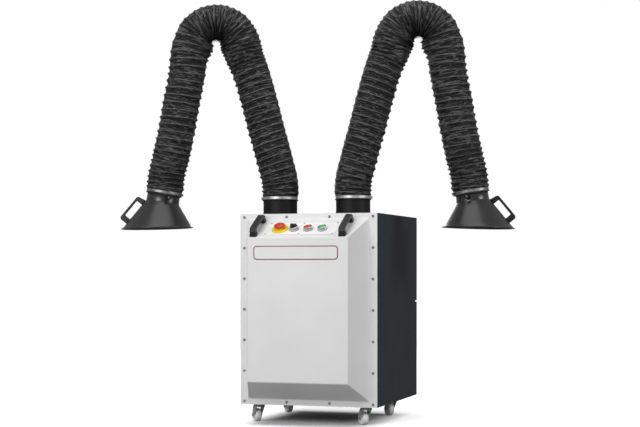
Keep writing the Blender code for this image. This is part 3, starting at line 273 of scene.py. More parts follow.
def finish(
    name, dark, light, roughness, grain, grain_height,
    metallic=0.0, patch=6.0, stretch=(1, 1, 1), gloss=0.5,
):
    """A surface with broad colour patches, uneven gloss and a fine grain.

    grain and patch are noise scales per metre.
    """
    material, nodes, links, shader = shader_nodes(name)
    patches = object_noise(nodes, links, patch)
    fine = object_noise(nodes, links, grain, 2.0, stretch)
    colour = tint(nodes, links, spread(nodes, links, patches, 0, 1), dark, light)
    links.new(colour, shader.inputs["Base Color"])
    links.new(spread(nodes, links, fine, *roughness), shader.inputs["Roughness"])
    links.new(bump(nodes, links, fine, grain_height), shader.inputs["Normal"])
    shader.inputs["Metallic"].default_value = metallic
    shader.inputs["Specular IOR Level"].default_value = gloss
    return material


def light_paint():
    dark, light = (0.665, 0.663, 0.667), (0.700, 0.698, 0.702)
    return finish("light_paint", dark, light, (0.38, 0.50), grain=700, grain_height=0.00012)


def dark_paint():
    dark, light = (0.019, 0.026, 0.031), (0.025, 0.033, 0.039)
    return finish(
        "dark_paint", dark, light, (0.45, 0.60),
        grain=900, grain_height=0.00020, gloss=0.06,
    )


def black_paint():
    dark, light = (0.018, 0.018, 0.019), (0.030, 0.030, 0.032)
    return finish("black_paint", dark, light, (0.30, 0.44), grain=500, grain_height=0.00010)


def black_plastic():
    dark, light = (0.010, 0.010, 0.011), (0.016, 0.016, 0.018)
    return finish(
        "black_plastic", dark, light, (0.34, 0.48),
        grain=1200, grain_height=0.00018, gloss=0.35,
    )


def collar_paint():
    dark, light = (0.005, 0.005, 0.006), (0.008, 0.008, 0.009)
    return finish(
        "collar_paint", dark, light, (0.50, 0.62),
        grain=500, grain_height=0.00010, gloss=0.16,
    )


def hood_paint():
    dark, light = (0.016, 0.016, 0.017), (0.019, 0.019, 0.020)
    return finish("hood_paint", dark, light, (0.28, 0.32), grain=400, grain_height=0.00002)


def band_steel():
    dark, light = (0.16, 0.16, 0.165), (0.34, 0.34, 0.345)
    return finish(
        "band_steel", dark, light, (0.40, 0.55),
        grain=90, grain_height=0.00020, metallic=0.9, patch=60,
    )


def screw_steel():
    dark, light = (0.20, 0.20, 0.205), (0.32, 0.32, 0.325)
    return finish(
        "screw_steel", dark, light, (0.32, 0.46),
        grain=300, grain_height=0.00006, metallic=0.8, patch=60,
    )


def caster_zinc():
    dark, light = (0.34, 0.345, 0.35), (0.46, 0.46, 0.47)
    return finish(
        "caster_zinc", dark, light, (0.38, 0.52),
        grain=400, grain_height=0.00008, metallic=0.45, patch=60,
    )


def clamp_steel():
    dark, light = (0.40, 0.40, 0.41), (0.58, 0.58, 0.59)
    return finish(
        "clamp_steel", dark, light, (0.40, 0.54),
        grain=120, grain_height=0.00020, metallic=0.85, patch=60,
    )


def plate_white():
    dark, light = (0.76, 0.76, 0.76), (0.80, 0.80, 0.80)
    return finish("plate_white", dark, light, (0.40, 0.52), grain=700, grain_height=0.00008)


def yellow_plastic():
    dark, light = (0.78, 0.56, 0.02), (0.84, 0.64, 0.03)
    return finish(
        "yellow_plastic", dark, light, (0.30, 0.42),
        grain=900, grain_height=0.00006, patch=30,
    )


def red_plastic():
    dark, light = (0.48, 0.030, 0.009), (0.58, 0.048, 0.014)
    return finish(
        "red_plastic", dark, light, (0.32, 0.44),
        grain=900, grain_height=0.00005, patch=40, gloss=0.35,
    )


def green_plastic():
    dark, light = (0.03, 0.33, 0.10), (0.05, 0.42, 0.14)
    return finish(
        "green_plastic", dark, light, (0.25, 0.36),
        grain=900, grain_height=0.00005, patch=40,
    )


def bright_metal():
    dark, light = (0.66, 0.66, 0.67), (0.80, 0.80, 0.81)
    return finish(
        "bright_metal", dark, light, (0.07, 0.16),
        grain=300, grain_height=0.00002, metallic=1.0, patch=25, stretch=(1, 1, 6),
    )


def zinc():
    dark, light = (0.42, 0.43, 0.45), (0.62, 0.63, 0.64)
    return finish(
        "zinc", dark, light, (0.28, 0.42),
        grain=400, grain_height=0.00006, metallic=1.0, patch=60,
    )


def nylon():
    dark, light = (0.74, 0.74, 0.73), (0.84, 0.84, 0.83)
    return finish("nylon", dark, light, (0.42, 0.58), grain=600, grain_height=0.00010, patch=50)


def filter_paper():
    dark, light = (0.72, 0.69, 0.60), (0.82, 0.80, 0.72)
    return finish(
        "filter_paper", dark, light, (0.85, 0.95),
        grain=500, grain_height=0.00030, patch=15,
    )


def motor_paint():
    dark, light = (0.08, 0.10, 0.13), (0.11, 0.14, 0.17)
    return finish(
        "motor_paint", dark, light, (0.42, 0.55),
        grain=500, grain_height=0.00015, patch=12,
    )


def badge_red():
    dark, light = (0.15, 0.010, 0.014), (0.20, 0.014, 0.018)
    return finish(
        "badge_red", dark, light, (0.30, 0.42),
        grain=900, grain_height=0.00005, patch=30,
    )


def crossing_lines(nodes, links, cloth, turn, scale):
    """Thin wandering lines across the cloth, nearly along its rings: where a noise is level."""
    mapping = nodes.new("ShaderNodeMapping")
    mapping.inputs["Rotation"].default_value = (0, 0, turn)
    mapping.inputs["Scale"].default_value = scale
    texture = nodes.new("ShaderNodeTexNoise")
    texture.inputs["Scale"].default_value = 1
    texture.inputs["Detail"].default_value = 1.5
    middle = nodes.new("ShaderNodeMath")
    middle.operation = "SUBTRACT"
    middle.inputs[1].default_value = 0.5
    size = nodes.new("ShaderNodeMath")
    size.operation = "ABSOLUTE"
    line = nodes.new("ShaderNodeMapRange")
    line.inputs["From Max"].default_value = 0.024
    line.inputs["To Min"].default_value = 1
    line.inputs["To Max"].default_value = 0
    links.new(cloth.outputs["UV"], mapping.inputs["Vector"])
    links.new(mapping.outputs["Vector"], texture.inputs["Vector"])
    links.new(texture.outputs["Fac"], middle.inputs[0])
    links.new(middle.outputs["Value"], size.inputs[0])
    links.new(size.outputs["Value"], line.inputs["Value"])
    return line.outputs["Result"]


def larger(nodes, links, first, second):
    node = nodes.new("ShaderNodeMath")
    node.operation = "MAXIMUM"
    links.new(first, node.inputs[0])
    links.new(second, node.inputs[1])
    return node.outputs["Value"]


def weave_threads(nodes, links, cloth):
    """Fine threads that cross each other."""
    waves = []
    for direction in ("X", "Y"):
        wave = nodes.new("ShaderNodeTexWave")
        wave.bands_direction = direction
        wave.inputs["Scale"].default_value = 260
        wave.inputs["Distortion"].default_value = 0.6
        links.new(cloth.outputs["UV"], wave.inputs["Vector"])
        waves.append(wave.outputs["Fac"])
    return larger(nodes, links, *waves)


def painted_glints(nodes, links, sag_and_painted_shade, creases):
    """Painted highlight: glints along the wires, and more faintly along the creases."""
    glint = nodes.new("ShaderNodeMapRange")
    glint.inputs["From Min"].default_value = 0.02
    glint.inputs["From Max"].default_value = 0.32
    glint.inputs["To Min"].default_value = 1
    glint.inputs["To Max"].default_value = 0
    links.new(sag_and_painted_shade, glint.inputs["Value"])
    faint = nodes.new("ShaderNodeMath")
    faint.operation = "MULTIPLY"
    faint.inputs[1].default_value = 0.46
    links.new(creases, faint.inputs[0])
    return larger(nodes, links, glint.outputs["Result"], faint.outputs["Value"])


def cover(nodes, links, share, below, colour):
    """Cover a texture's colour with a plain one."""
    mix = nodes.new("ShaderNodeMix")
    mix.data_type = "RGBA"
    mix.inputs["B"].default_value = (*colour, 1)
    links.new(share, mix.inputs["Factor"])
    links.new(below, mix.inputs["A"])
    return mix.outputs["Result"]


def hose_fabric():
    """Coated cloth over wire, with painted highlights along the wires and creases and painted
    shade in the sags and inside the bend.
    """
    material, nodes, links, shader = shader_nodes("hose_fabric")
    cloth = nodes.new("ShaderNodeUVMap")
    cloth.uv_map = "cloth"
    # Painted shade: each vertex's share of near-black colour, set when the hose is built
    depth = nodes.new("ShaderNodeAttribute")
    depth.attribute_name = "sag_and_painted_shade"
    sag_and_painted_shade = depth.outputs["Fac"]
    rising = crossing_lines(nodes, links, cloth, 0.16, (7, 74, 1))
    falling = crossing_lines(nodes, links, cloth, -0.19, (8, 66, 1))
    creases = larger(nodes, links, rising, falling)
    patches = object_noise(nodes, links, 22, 6.0)
    patchy = spread(nodes, links, patches, 0, 1)
    plain = tint(nodes, links, patchy, (0.013, 0.013, 0.014), (0.020, 0.020, 0.021))
    # Painted shade: near-black colour laid on in the sags and inside the bend
    shaded = cover(nodes, links, sag_and_painted_shade, plain, (0.004, 0.004, 0.0045))
    # Painted highlight: light grey glints along the wires and creases
    glint_share = painted_glints(nodes, links, sag_and_painted_shade, creases)
    glinted = cover(nodes, links, glint_share, shaded, (0.240, 0.240, 0.243))
    links.new(glinted, shader.inputs["Base Color"])
    links.new(spread(nodes, links, patches, 0.46, 0.56), shader.inputs["Roughness"])
    folds = bump(nodes, links, creases, 0.0030, 0.7)
    surface = bump(nodes, links, weave_threads(nodes, links, cloth), 0.0003, 0.6, folds)
    links.new(surface, shader.inputs["Normal"])
    shader.inputs["Specular IOR Level"].default_value = 0.16
    shader.inputs["Sheen Weight"].default_value = 0.02
    shader.inputs["Sheen Roughness"].default_value = 0.5
    return material


SLOT_FINISHES = (
    light_paint,
    dark_paint,
    black_paint,
    black_plastic,
    hose_fabric,
    yellow_plastic,
    red_plastic,
    green_plastic,
    bright_metal,
    zinc,
    nylon,
    filter_paper,
    motor_paint,
)
MATERIALS = {make.__name__: make() for make in SLOT_FINISHES}
BADGE_RED = badge_red()
COLLAR_PAINT = collar_paint()
HOOD_PAINT = hood_paint()
BAND_STEEL = band_steel()
PLATE_WHITE = plate_white()
SCREW_STEEL = screw_steel()
CASTER_ZINC = caster_zinc()
CLAMP_STEEL = clamp_steel()


def dress_frame():
    """Every node of the frame gets the finish of its material slot, but the control plate and the
    casters get their own.
    """
    slots = {row["node"]: row["material_slot"] for row in frame["record"]["subparts"]}
    for name, node in frame["nodes"].items():
        node.data.materials.clear()
        if name == "control_plate":
            material = PLATE_WHITE
        elif name.startswith("caster_"):
            material = CASTER_ZINC
        else:
            material = MATERIALS[slots[name]]
        node.data.materials.append(material)
        node.data.shade_smooth()
        node.data.set_sharp_from_angle(angle=math.radians(28))


# Making pieces
def add_piece(name, bm, slot, material=None, sharp=35):
    mesh = bpy.data.meshes.new(name)
    bmesh.ops.recalc_face_normals(bm, faces=bm.faces)
    bm.to_mesh(mesh)
    bm.free()
    mesh.shade_smooth()
    mesh.set_sharp_from_angle(angle=math.radians(sharp))
    mesh.materials.append(material or MATERIALS[slot])
    piece = bpy.data.objects.new(name, mesh)
    bpy.context.scene.collection.objects.link(piece)
    return piece


def round_edges(piece, width, segments=3, angle=35):
    bevel = piece.modifiers.new("round_edges", "BEVEL")
    bevel.width = width
    bevel.segments = segments
    bevel.limit_method = "ANGLE"
    bevel.angle_limit = math.radians(angle)
    bevel.harden_normals = True
    return piece


def add_lathe(bm, profile, sides, matrix=Matrix.Identity(4)):
    """Turn a chain of (radius, height) points round Z. It is closed unless it starts on Z."""
    rings = []
    for radius, height in profile:
        if radius == 0:
            rings.append([bm.verts.new(matrix @ Vector((0, 0, height)))])
            continue
        ring = []
        for number in range(sides):
            a = 2 * math.pi * number / sides
            point = Vector((radius * math.cos(a), radius * math.sin(a), height))
            ring.append(bm.verts.new(matrix @ point))
        rings.append(ring)
    pairs = list(zip(rings, rings[1:]))
    if profile[0][0] > 0:
        pairs.append((rings[-1], rings[0]))
    for first, second in pairs:
        for number in range(sides):
            following = (number + 1) % sides
            corners = []
            places = (first, number), (first, following), (second, following), (second, number)
            for ring, index in places:
                vert = ring[index % len(ring)]
                if vert not in corners:
                    corners.append(vert)
            if len(corners) > 2:
                bm.faces.new(corners)


def add_plate(bm, outline, low, high, matrix=Matrix.Identity(4)):
    """A flat plate with the given (x, y) outline between two heights."""
    bottom = [bm.verts.new(matrix @ Vector((x, y, low))) for x, y in outline]
    top = [bm.verts.new(matrix @ Vector((x, y, high))) for x, y in outline]
    bm.faces.new(bottom)
    bm.faces.new(top)
    for number in range(len(outline)):
        following = (number + 1) % len(outline)
        bm.faces.new((bottom[number], bottom[following], top[following], top[number]))


def add_frustum(bm, base, top, low, high, matrix=Matrix.Identity(4)):
    """A block that tapers from its base's size to its top's size."""
    loops = []
    for (width, depth), z in ((base, low), (top, high)):
        loop = []
        for x, y in ((-1, -1), (1, -1), (1, 1), (-1, 1)):
            loop.append(bm.verts.new(matrix @ Vector((x * width / 2, y * depth / 2, z))))
        loops.append(loop)
    lower, upper = loops
    bm.faces.new(lower)
    bm.faces.new(upper)
    for number in range(4):
        following = (number + 1) % 4
        bm.faces.new((lower[number], lower[following], upper[following], upper[number]))


def arc(centre, radius, start, end, steps):
    """Points on an arc from start to end, in degrees."""
    angles = [math.radians(start + (end - start) * step / steps) for step in range(steps + 1)]
    return [(centre[0] + radius * math.cos(a), centre[1] + radius * math.sin(a)) for a in angles]


def rounded_rectangle(width, height, corner, steps=8):
    outline = []
    for x, y, start in ((1, -1, -90), (1, 1, 0), (-1, 1, 90), (-1, -1, 180)):
        centre = (x * (width / 2 - corner), y * (height / 2 - corner))
        outline += arc(centre, corner, start, start + 90, steps)
    return outline


def add_button_screw(bm, matrix, radius, height):
    """A domed screw head with a recess, standing on the matrix's xy plane."""
    recess = radius * 0.42
    dome = []
    for degrees in (0, 18, 36, 52, 66):
        a = math.radians(degrees)
        dome.append((radius * math.cos(a), height * math.sin(a)))
    socket = [(recess, height * 0.92), (recess * 0.9, height * 0.35), (0, height * 0.3)]
    add_lathe(bm, dome + socket, 24, matrix)


# Control panel: x across, y up the slope, z out of it
def slope_matrix():
    height = CASTER_HEIGHT + BODY_HEIGHT - RIM_TOP - SLOPE_TOP / 2
    middle = (0.0, COVER_FACE_Y - BULGE_DEPTH / 2, height)
    return Matrix.Translation(middle) @ Matrix.Rotation(SLOPE_ANGLE, 4, "X")


def control_place(number):
    x = (number - 1.5) * CONTROL_SPACING
    return slope_matrix() @ Matrix.Translation((x, CONTROL_Y, 0))


def make_cover_screws():
    """Eighteen button heads round the cover's rim and six on the control plate."""
    bm = bmesh.new()
    column = HALF_WIDTH - RIM_SIDE / 2
    low = CASTER_HEIGHT + RIM_BOTTOM / 2
    high = CASTER_HEIGHT + BODY_HEIGHT - TOP_SCREW_INSET
    places = []
    for row in range(7):
        z = low + (high - low) * row / 6
        places += [(-column, z), (column, z)]
    for z in (low, high):
        places += [(-column / 3, z), (column / 3, z)]
    for x, z in places:
        place = Matrix.Translation((x, COVER_FACE_Y, z)) @ STANDING
        add_button_screw(bm, place, *COVER_SCREW)
    for x in PLATE_SCREW_COLUMNS:
        for y in (PLATE_Y - PLATE_SCREW_REACH, PLATE_Y + PLATE_SCREW_REACH):
            place = slope_matrix() @ Matrix.Translation((x, y, PLATE_TOP))
            add_button_screw(bm, place, *PLATE_SCREW)
    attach(add_piece("cover_screws", bm, "zinc", SCREW_STEEL), "cabinet")


def make_bare_badge():
    """A plain raised plate with a thin red border, where such a machine carries its sign."""
    x, z = BADGE_CENTRE
    face = Matrix.Translation((x, RAISED_FACE_Y, z)) @ STANDING
    rows = (
        ("badge_border", BADGE_BORDER, BADGE_RED, 0.0004),
        ("badge_field", BADGE_FIELD, None, 0.0003),
    )
    for name, (width, height, corner, low, high), material, edge in rows:
        bm = bmesh.new()
        add_plate(bm, rounded_rectangle(width, height, corner), low, high, face)
        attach(round_edges(add_piece(name, bm, "light_paint", material), edge), "cabinet")


def make_estop():
    """A yellow disc and, over it, the red mushroom with a crowned top and a stepped edge."""
    place = control_place(0)
    disc = [
        (0.0085, 0.0125),
        (0.0180, 0.0125),
        (0.0185, CONTROL_SEAT + 0.0055),
        (0.0372, CONTROL_SEAT + 0.0050),
        (0.0388, CONTROL_SEAT + 0.0035),
        (0.0390, CONTROL_SEAT),
        (BARREL_RADIUS, CONTROL_SEAT),
        (BARREL_RADIUS, -0.030),
        (0.0085, -0.030),
    ]
    base = bmesh.new()
    add_lathe(base, disc, CONTROL_SIDES, place)
    piece = round_edges(add_piece("estop_disc", base, "yellow_plastic"), 0.0005)
    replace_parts(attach(piece, "cabinet"), "estop_base")
    crown = [(0.0185 * x, 0.0272 + 0.0035 * y) for y, x in arc((0, 0), 1, 0, 80, 8)]
    edge = [
        (0.0200, 0.0262),
        (0.0225, 0.0258),
        (0.0250, 0.0245),
        (0.0262, 0.0225),
        (0.0265, 0.0208),
        (0.0263, 0.0196),
        (0.0240, 0.0182),
    ]
    stem = [(0.0082, 0.0182), (0.0082, -0.020), (0.0, -0.020)]
    cap = bmesh.new()
    add_lathe(cap, crown + edge + stem, CONTROL_SIDES, place)
    piece = add_piece("estop_mushroom", cap, "red_plastic")
    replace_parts(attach(piece, "estop"), "estop_button")


def make_bezel(number, node):
    """A chromed ring that stands on a thin black gasket."""
    ring = [
        (0.0166, 0.0178),
        (0.0180, 0.0184),
        (0.0190, 0.0178),
        (0.0204, 0.0100),
        (0.0215, 0.0070),
        (0.0215, CONTROL_SEAT),
        (BARREL_RADIUS, CONTROL_SEAT),
        (BARREL_RADIUS, -0.028),
        (0.0106, -0.028),
        (0.0106, 0.0045),
        (0.0166, 0.0045),
    ]
    bm = bmesh.new()
    add_lathe(bm, ring, CONTROL_SIDES, control_place(number))
    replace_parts(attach(add_piece(f"{node}_ring", bm, "bright_metal"), "cabinet"), node)
    seal = [
        (0.0217, CONTROL_SEAT),
        (0.0217, 0.0040),
        (0.0224, 0.0040),
        (0.0228, 0.0034),
        (0.0228, CONTROL_SEAT),
    ]
    gasket = bmesh.new()
    add_lathe(gasket, seal, CONTROL_SIDES, control_place(number))
    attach(add_piece(f"{node}_gasket", gasket, "black_plastic"), "cabinet")


def make_push_button(number, node, body, slot):
    """A slightly domed cap on its stem."""
    cap = [
        (0.0, 0.0208),
        (0.0070, 0.0206),
        (0.0120, 0.0199),
        (0.0148, 0.0188),
        (0.0158, 0.0175),
        (0.0160, 0.0160),
        (0.0160, 0.0095),
    ]
    stem = [(0.0100, 0.0095), (0.0100, -0.020), (0.0, -0.020)]
    bm = bmesh.new()
    add_lathe(bm, cap + stem, CONTROL_SIDES, control_place(number))
    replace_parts(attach(add_piece(f"{node}_cap", bm, slot), body), node)


def make_selector():
    """A round knob with a raised grip across it and a white mark on the grip."""
    place = control_place(1)
    knob = [
        (0.0, 0.0198),
        (0.0150, 0.0190),
        (0.0160, 0.0180),
        (0.0160, 0.0060),
        (0.0100, 0.0060),
        (0.0100, -0.020),
        (0.0, -0.020),
    ]
    disc = bmesh.new()
    add_lathe(disc, knob, CONTROL_SIDES, place)
    half_length = 0.0150
    half_width = 0.0050
    outline = arc((half_length - half_width, 0), half_width, -90, 90, 10)
    outline += arc((-half_length + half_width, 0), half_width, 90, 270, 10)
    add_plate(disc, outline, 0.0185, 0.0308, place)
    piece = round_edges(add_piece("selector_grip", disc, "black_plastic"), 0.0010)
    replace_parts(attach(piece, "selector"), "selector_knob")
    mark = [(0.002, -0.0009), (0.0135, -0.0009), (0.0135, 0.0009), (0.002, 0.0009)]
    line = bmesh.new()
    add_plate(line, mark, 0.0306, 0.0310, place)
    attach(add_piece("selector_mark", line, "light_paint"), "selector")


def make_front_handle(name, x):
    """An angular bridge grip with chamfered shoulders on two broad, tapered feet."""
    place = slope_matrix() @ Matrix.Translation((x, 0, 0))
    low, high = HANDLE_FEET
    outline = [
        (low + 0.011, 0.006),
        (low - 0.012, 0.006),
        (low - 0.012, HANDLE_SHOULDER),
        (low + 0.004, HANDLE_TOP),
        (high - 0.004, HANDLE_TOP),
        (high + 0.012, HANDLE_SHOULDER),
        (high + 0.012, 0.006),
        (high - 0.011, 0.006),
        (high - 0.011, HANDLE_UNDERSIDE - 0.008),
        (high - 0.019, HANDLE_UNDERSIDE),
        (low + 0.019, HANDLE_UNDERSIDE),
        (low + 0.011, HANDLE_UNDERSIDE - 0.008),
    ]
    half = HANDLE_WIDTH / 2
    upright = Matrix(((0, 0, 1, 0), (1, 0, 0, 0), (0, 1, 0, 0), (0, 0, 0, 1)))
    bm = bmesh.new()
    add_plate(bm, outline, -half, half, place @ upright)
    for y in (low, high):
        foot = place @ Matrix.Translation((0, y, 0))
        add_frustum(bm, FOOT_BASE, FOOT_TOP, GAP, FOOT_HEIGHT, foot)
    piece = round_edges(add_piece(f"{name}_grip", bm, "black_plastic"), 0.0022, 4)
    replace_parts(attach(piece, "cabinet"), name)


# Arms
def arm_matrix(side):
    turn = ARM_TURN if side > 0 else math.pi + ARM_TURN
    foot = Matrix.Translation((side * ARM_X, ARM_Y, CASTER_HEIGHT))
    return foot @ Matrix.Rotation(turn, 4, "Z")


def in_arm(point):
    return (point[0], 0.0, point[1])


def neck_matrix():
    """Frame of the hood's neck: z up its axis, x outward, origin at the foot of the neck."""
    return Matrix.Translation(in_arm(HOOD_JUNCTION)) @ Matrix.Rotation(-HOOD_TILT, 4, "Y")


def hose_route(steps):
    """A smooth curve through the hose's centre points, in the arm's plane, cuff to cuff."""
    bend = [arc(BEND_CENTRE, BEND_RADIUS, angle, angle, 1)[0] for angle in BEND_ANGLES]
    fall = Vector((math.sin(HOOD_TILT), -math.cos(HOOD_TILT)))
    end = neck_matrix() @ Vector((0, 0, NECK_LENGTH))
    end = Vector((end.x, end.z))
    low_cuff = Vector((0.0, COLLAR_TOP - CUFF_LENGTH))
    points = [Vector(point) for point in (*LOWER_LEG, *bend, *UPPER_LEG, end)]
    headings = [Vector((0.0, 1.0))]
    for before, point, after in zip(points, points[1:], points[2:]):
        arriving = point - before
        leaving = after - point
        turn = arriving.normalized() * leaving.length + leaving.normalized() * arriving.length
        headings.append(turn.normalized())
    headings.append(fall)
    route = [low_cuff]
    for number, (here, there) in enumerate(zip(points, points[1:])):
        length = (there - here).length
        for step in range(steps):
            t = step / steps
            route.append(
                (2 * t**3 - 3 * t**2 + 1) * here
                + (3 * t**2 - 2 * t**3) * there
                + (t**3 - 2 * t**2 + t) * length * headings[number]
                + (t**3 - t**2) * length * headings[number + 1]
            )
    return [*route, end, end + fall * CUFF_LENGTH]


def even_points(route, spacing):
    """Points at equal distances along a route, and that distance."""
    lengths = [0.0]
    for first, second in zip(route, route[1:]):
        lengths.append(lengths[-1] + (second - first).length)
    count = round(lengths[-1] / spacing)
    points = []
    piece = 0
    for number in range(count + 1):
        wanted = lengths[-1] * number / count
        while piece < len(route) - 2 and lengths[piece + 1] < wanted:
            piece += 1
        share = (wanted - lengths[piece]) / (lengths[piece + 1] - lengths[piece])
        points.append(route[piece].lerp(route[piece + 1], min(share, 1.0)))
    return points, lengths[-1] / count


def rib_phase(along):
    """How many ribs lie before this place. They close up at the ends and round the bend."""
    phase = along / RIB_PITCH
    for start, end, pitch in TIGHT_STRETCHES:
        inside = min(max(along - start, 0.0), end - start)
        phase += inside * (1 / pitch - 1 / RIB_PITCH)
    return phase


def cloth_creases(along, angle):
    """How strongly the cloth is creased: 0 between creases, up to 2 where two of them cross."""
    creases = 0.0
    for lean in CREASE_LEANS:
        x = math.cos(angle) * CREASES_AROUND + lean
        y = math.sin(angle) * CREASES_AROUND
        tilted = along + CREASE_SLANT * math.sin(angle + lean)
        place = Vector((x, y, tilted * CREASES_PER_METRE))
        creases += max(0.0, 1 - CREASE_SHARPNESS * abs(noise.noise(place)))
    return creases


def cloth_slack(along, angle, squeeze):
    """How loosely the cloth hangs: more inside a bend, less on the back of the rising leg."""
    broad = noise.noise(Vector((math.cos(angle) * 1.2, math.sin(angle) * 1.2, along * 15)))
    rising = min(1.0, max(0.0, (TAUT_UNTIL - along) / TAUT_FADE))
    taut = TAUT_SHARE * rising * max(0.0, -math.cos(angle))
    return max(LEAST_SLACK, 1 + squeeze) * (1 + UNEVENNESS * broad) * (1 - taut)


def hose_radius(along, length, angle, squeeze):
    """Radius of the cloth, taut over each wire and slack and creased between, and its
    painted-shade share: deep in the sags and inside a bend, half on the cuffs.
    """
    phase = rib_phase(along) + angle / (2 * math.pi)
    share = phase - math.floor(phase)
    sag_and_painted_shade = (4 * share * (1 - share)) ** 0.75
    lift = min(cloth_creases(along, angle) * CREASE_DEPTH * sag_and_painted_shade**0.5, 0.4 * sag_and_painted_shade)
    depth = (sag_and_painted_shade - lift) * cloth_slack(along, angle, squeeze)
    ridge = HOSE_RIDGES[0] + (HOSE_RIDGES[1] - HOSE_RIDGES[0]) * along / length
    radius = ridge - HOSE_SAG * depth
    ends = min(along, length - along)
    cuff = min(1.0, max(0.0, (CUFF_LENGTH + CUFF_FADE - ends) / CUFF_FADE))
    radius = radius * (1 - cuff) + CUFF_RADIUS * cuff
    if ends < LIP_LENGTH:
        radius += LIP_HEIGHT * math.sin(math.pi * ends / LIP_LENGTH)
    # Painted shade: the share is set by the sag and by the squeeze inside a bend
    shade = min(1.0, max(sag_and_painted_shade, 1.3 * squeeze))
    return radius, shade * (1 - cuff) + 0.5 * cuff


def bend_gather(from_crown, angle):
    """How far the bunched cloth bulges inwards on either side of the bend's crown."""
    share = math.exp(-(((abs(from_crown) - GATHER_PLACE) / GATHER_LENGTH) ** 2))
    return BEND_GATHER * share * max(0.0, math.cos(angle)) ** 2


def make_hose_skin(name, side, points, spacing, first, last):
    """The stretch of hose between two sample numbers."""
    length = spacing * (len(points) - 1)
    crown = max(range(len(points)), key=lambda number: points[number].y)
    bm = bmesh.new()
    cloth = bm.loops.layers.uv.new("cloth")
    painted_shade_layer = bm.verts.layers.float.new("sag_and_painted_shade")
    matrix = arm_matrix(side)
    rings = []
    for number in range(first, last + 1):
        before = points[max(number - 1, 0)]
        after = points[min(number + 1, len(points) - 1)]
        heading = (after - before).normalized()
        inward = Vector((heading.y, -heading.x))
        turning = 0.0
        if BEND_SPAN < number < len(points) - 1 - BEND_SPAN:
            back = (points[number] - points[number - BEND_SPAN]).normalized()
            ahead = (points[number + BEND_SPAN] - points[number]).normalized()
            turning = (back.x * ahead.y - back.y * ahead.x) / (BEND_SPAN * spacing)
        ring = []
        for step in range(HOSE_SIDES):
            a = 2 * math.pi * step / HOSE_SIDES
            squeeze = -turning * HOSE_RIDGES[0] * math.cos(a)
            radius, sag_and_painted_shade = hose_radius(number * spacing, length, side * a, squeeze)
            radius += bend_gather((number - crown) * spacing, a)
            flat = points[number] + inward * radius * math.cos(a)
            vert = bm.verts.new(matrix @ Vector((flat.x, radius * math.sin(a), flat.y)))
            # Each vertex keeps its painted-shade share for the cloth's colour
            vert[painted_shade_layer] = sag_and_painted_shade
            ring.append(vert)
        rings.append(ring)
    du = 2 * math.pi * HOSE_RIDGES[0] / HOSE_SIDES
    for row, (lower, upper) in enumerate(zip(rings, rings[1:])):
        v = (first + row) * spacing
        for step in range(HOSE_SIDES):
            following = (step + 1) % HOSE_SIDES
            face = bm.faces.new((lower[step], lower[following], upper[following], upper[step]))
            u = step * du
            corners = ((u, v), (u + du, v), (u + du, v + spacing), (u, v + spacing))
            for loop, uv in zip(face.loops, corners):
                loop[cloth].uv = uv
    return add_piece(name, bm, "hose_fabric", sharp=80)


def make_hose(word, side):
    """Three stretches: each crosses one joint, and they meet halfway along the arm's two legs."""
    points, spacing = even_points(hose_route(steps=24), HOSE_SPACING)
    matrix = arm_matrix(side)
    top = max(range(len(points)), key=lambda number: points[number].y)
    low_seam = next(n for n, point in enumerate(points) if point.y > LOW_SEAM_HEIGHT)
    high_seam = next(
        n for n, point in enumerate(points) if n > top and point.y < HIGH_SEAM_HEIGHT
    )

    def world(blend):
        return [matrix @ Vector(in_arm(point)) for point in blend]

    foot = make_hose_skin(f"{word}_hose_foot", side, points, spacing, 0, low_seam)
    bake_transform(foot)
    arch = make_hose_skin(f"{word}_hose_arch", side, points, spacing, low_seam, high_seam)
    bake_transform(arch)
    fall = make_hose_skin(f"{word}_hose_fall", side, points, spacing, high_seam, len(points) - 1)
    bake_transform(fall)
    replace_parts(arch, f"{word}_hose")


def make_collar(word, side):
    """The turning duct collar's rolled sheet, with a bead above the cabinet's top."""
    inside = DUCT_RADIUS + 0.0001
    skin = DUCT_RADIUS + GAP
    bead = skin + 0.0012
    profile = [
        (skin, 0.9745),
        (skin, 0.9010),
        (bead, 0.8985),
        (bead, 0.8955),
        (skin, 0.8930),
        (skin, 0.8915),
        (inside, 0.8915),
        (inside, 0.9745),
    ]
    bm = bmesh.new()
    add_lathe(bm, profile, DUCT_SIDES, arm_matrix(side))
    piece = add_piece(f"{word}_collar_skin", bm, "black_paint", COLLAR_PAINT, 50)
    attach(piece, f"{word}_swivel")


def make_clamp(word, place, body, matrix, high, turn, material):
    """A worm-drive band with raised edges, below a height, and its screw housing."""
    bm = bmesh.new()
    low = high - BAND_HEIGHT
    edge = 0.0018
    profile = [
        (0.0807, low),
        (0.0838, low),
        (0.0840, low + edge / 2),
        (0.0832, low + edge),
        (0.0832, high - edge),
        (0.0840, high - edge / 2),
        (0.0838, high),
        (0.0807, high),
    ]
    add_lathe(bm, profile, DUCT_SIDES, matrix)
    middle = (low + high) / 2
    housing = matrix @ Matrix.Rotation(turn, 4, "Z")
    box = housing @ Matrix.Translation((0.0866, 0, 0))
    outline = rounded_rectangle(0.0075, 0.022, 0.0020, 3)
    add_plate(bm, outline, middle - 0.0055, middle + 0.0055, box)
    screw = housing @ Matrix.Translation((0.0870, 0.009, middle))
    screw = screw @ Matrix.Rotation(-math.pi / 2, 4, "X")
    head = [(0.0, 0.010), (0.0030, 0.010), (0.0038, 0.0092), (0.0038, 0.0), (0.0, 0.0)]
    add_lathe(bm, head, 6, screw)
    piece = add_piece(f"{word}_{place}_band", bm, "bright_metal", material)
    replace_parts(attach(piece, f"{word}_{body}"), f"{word}_{place}_clamp")


def ring_points(centre, radius, tilt, sides):
    matrix = Matrix.Translation(in_arm(centre)) @ Matrix.Rotation(-tilt, 4, "Y")
    angles = [2 * math.pi * number / sides for number in range(sides)]
    return [matrix @ Vector((radius * math.cos(a), radius * math.sin(a), 0)) for a in angles]


def mix_ring(first, second, share):
    return [a.lerp(b, share) for a, b in zip(first, second)]


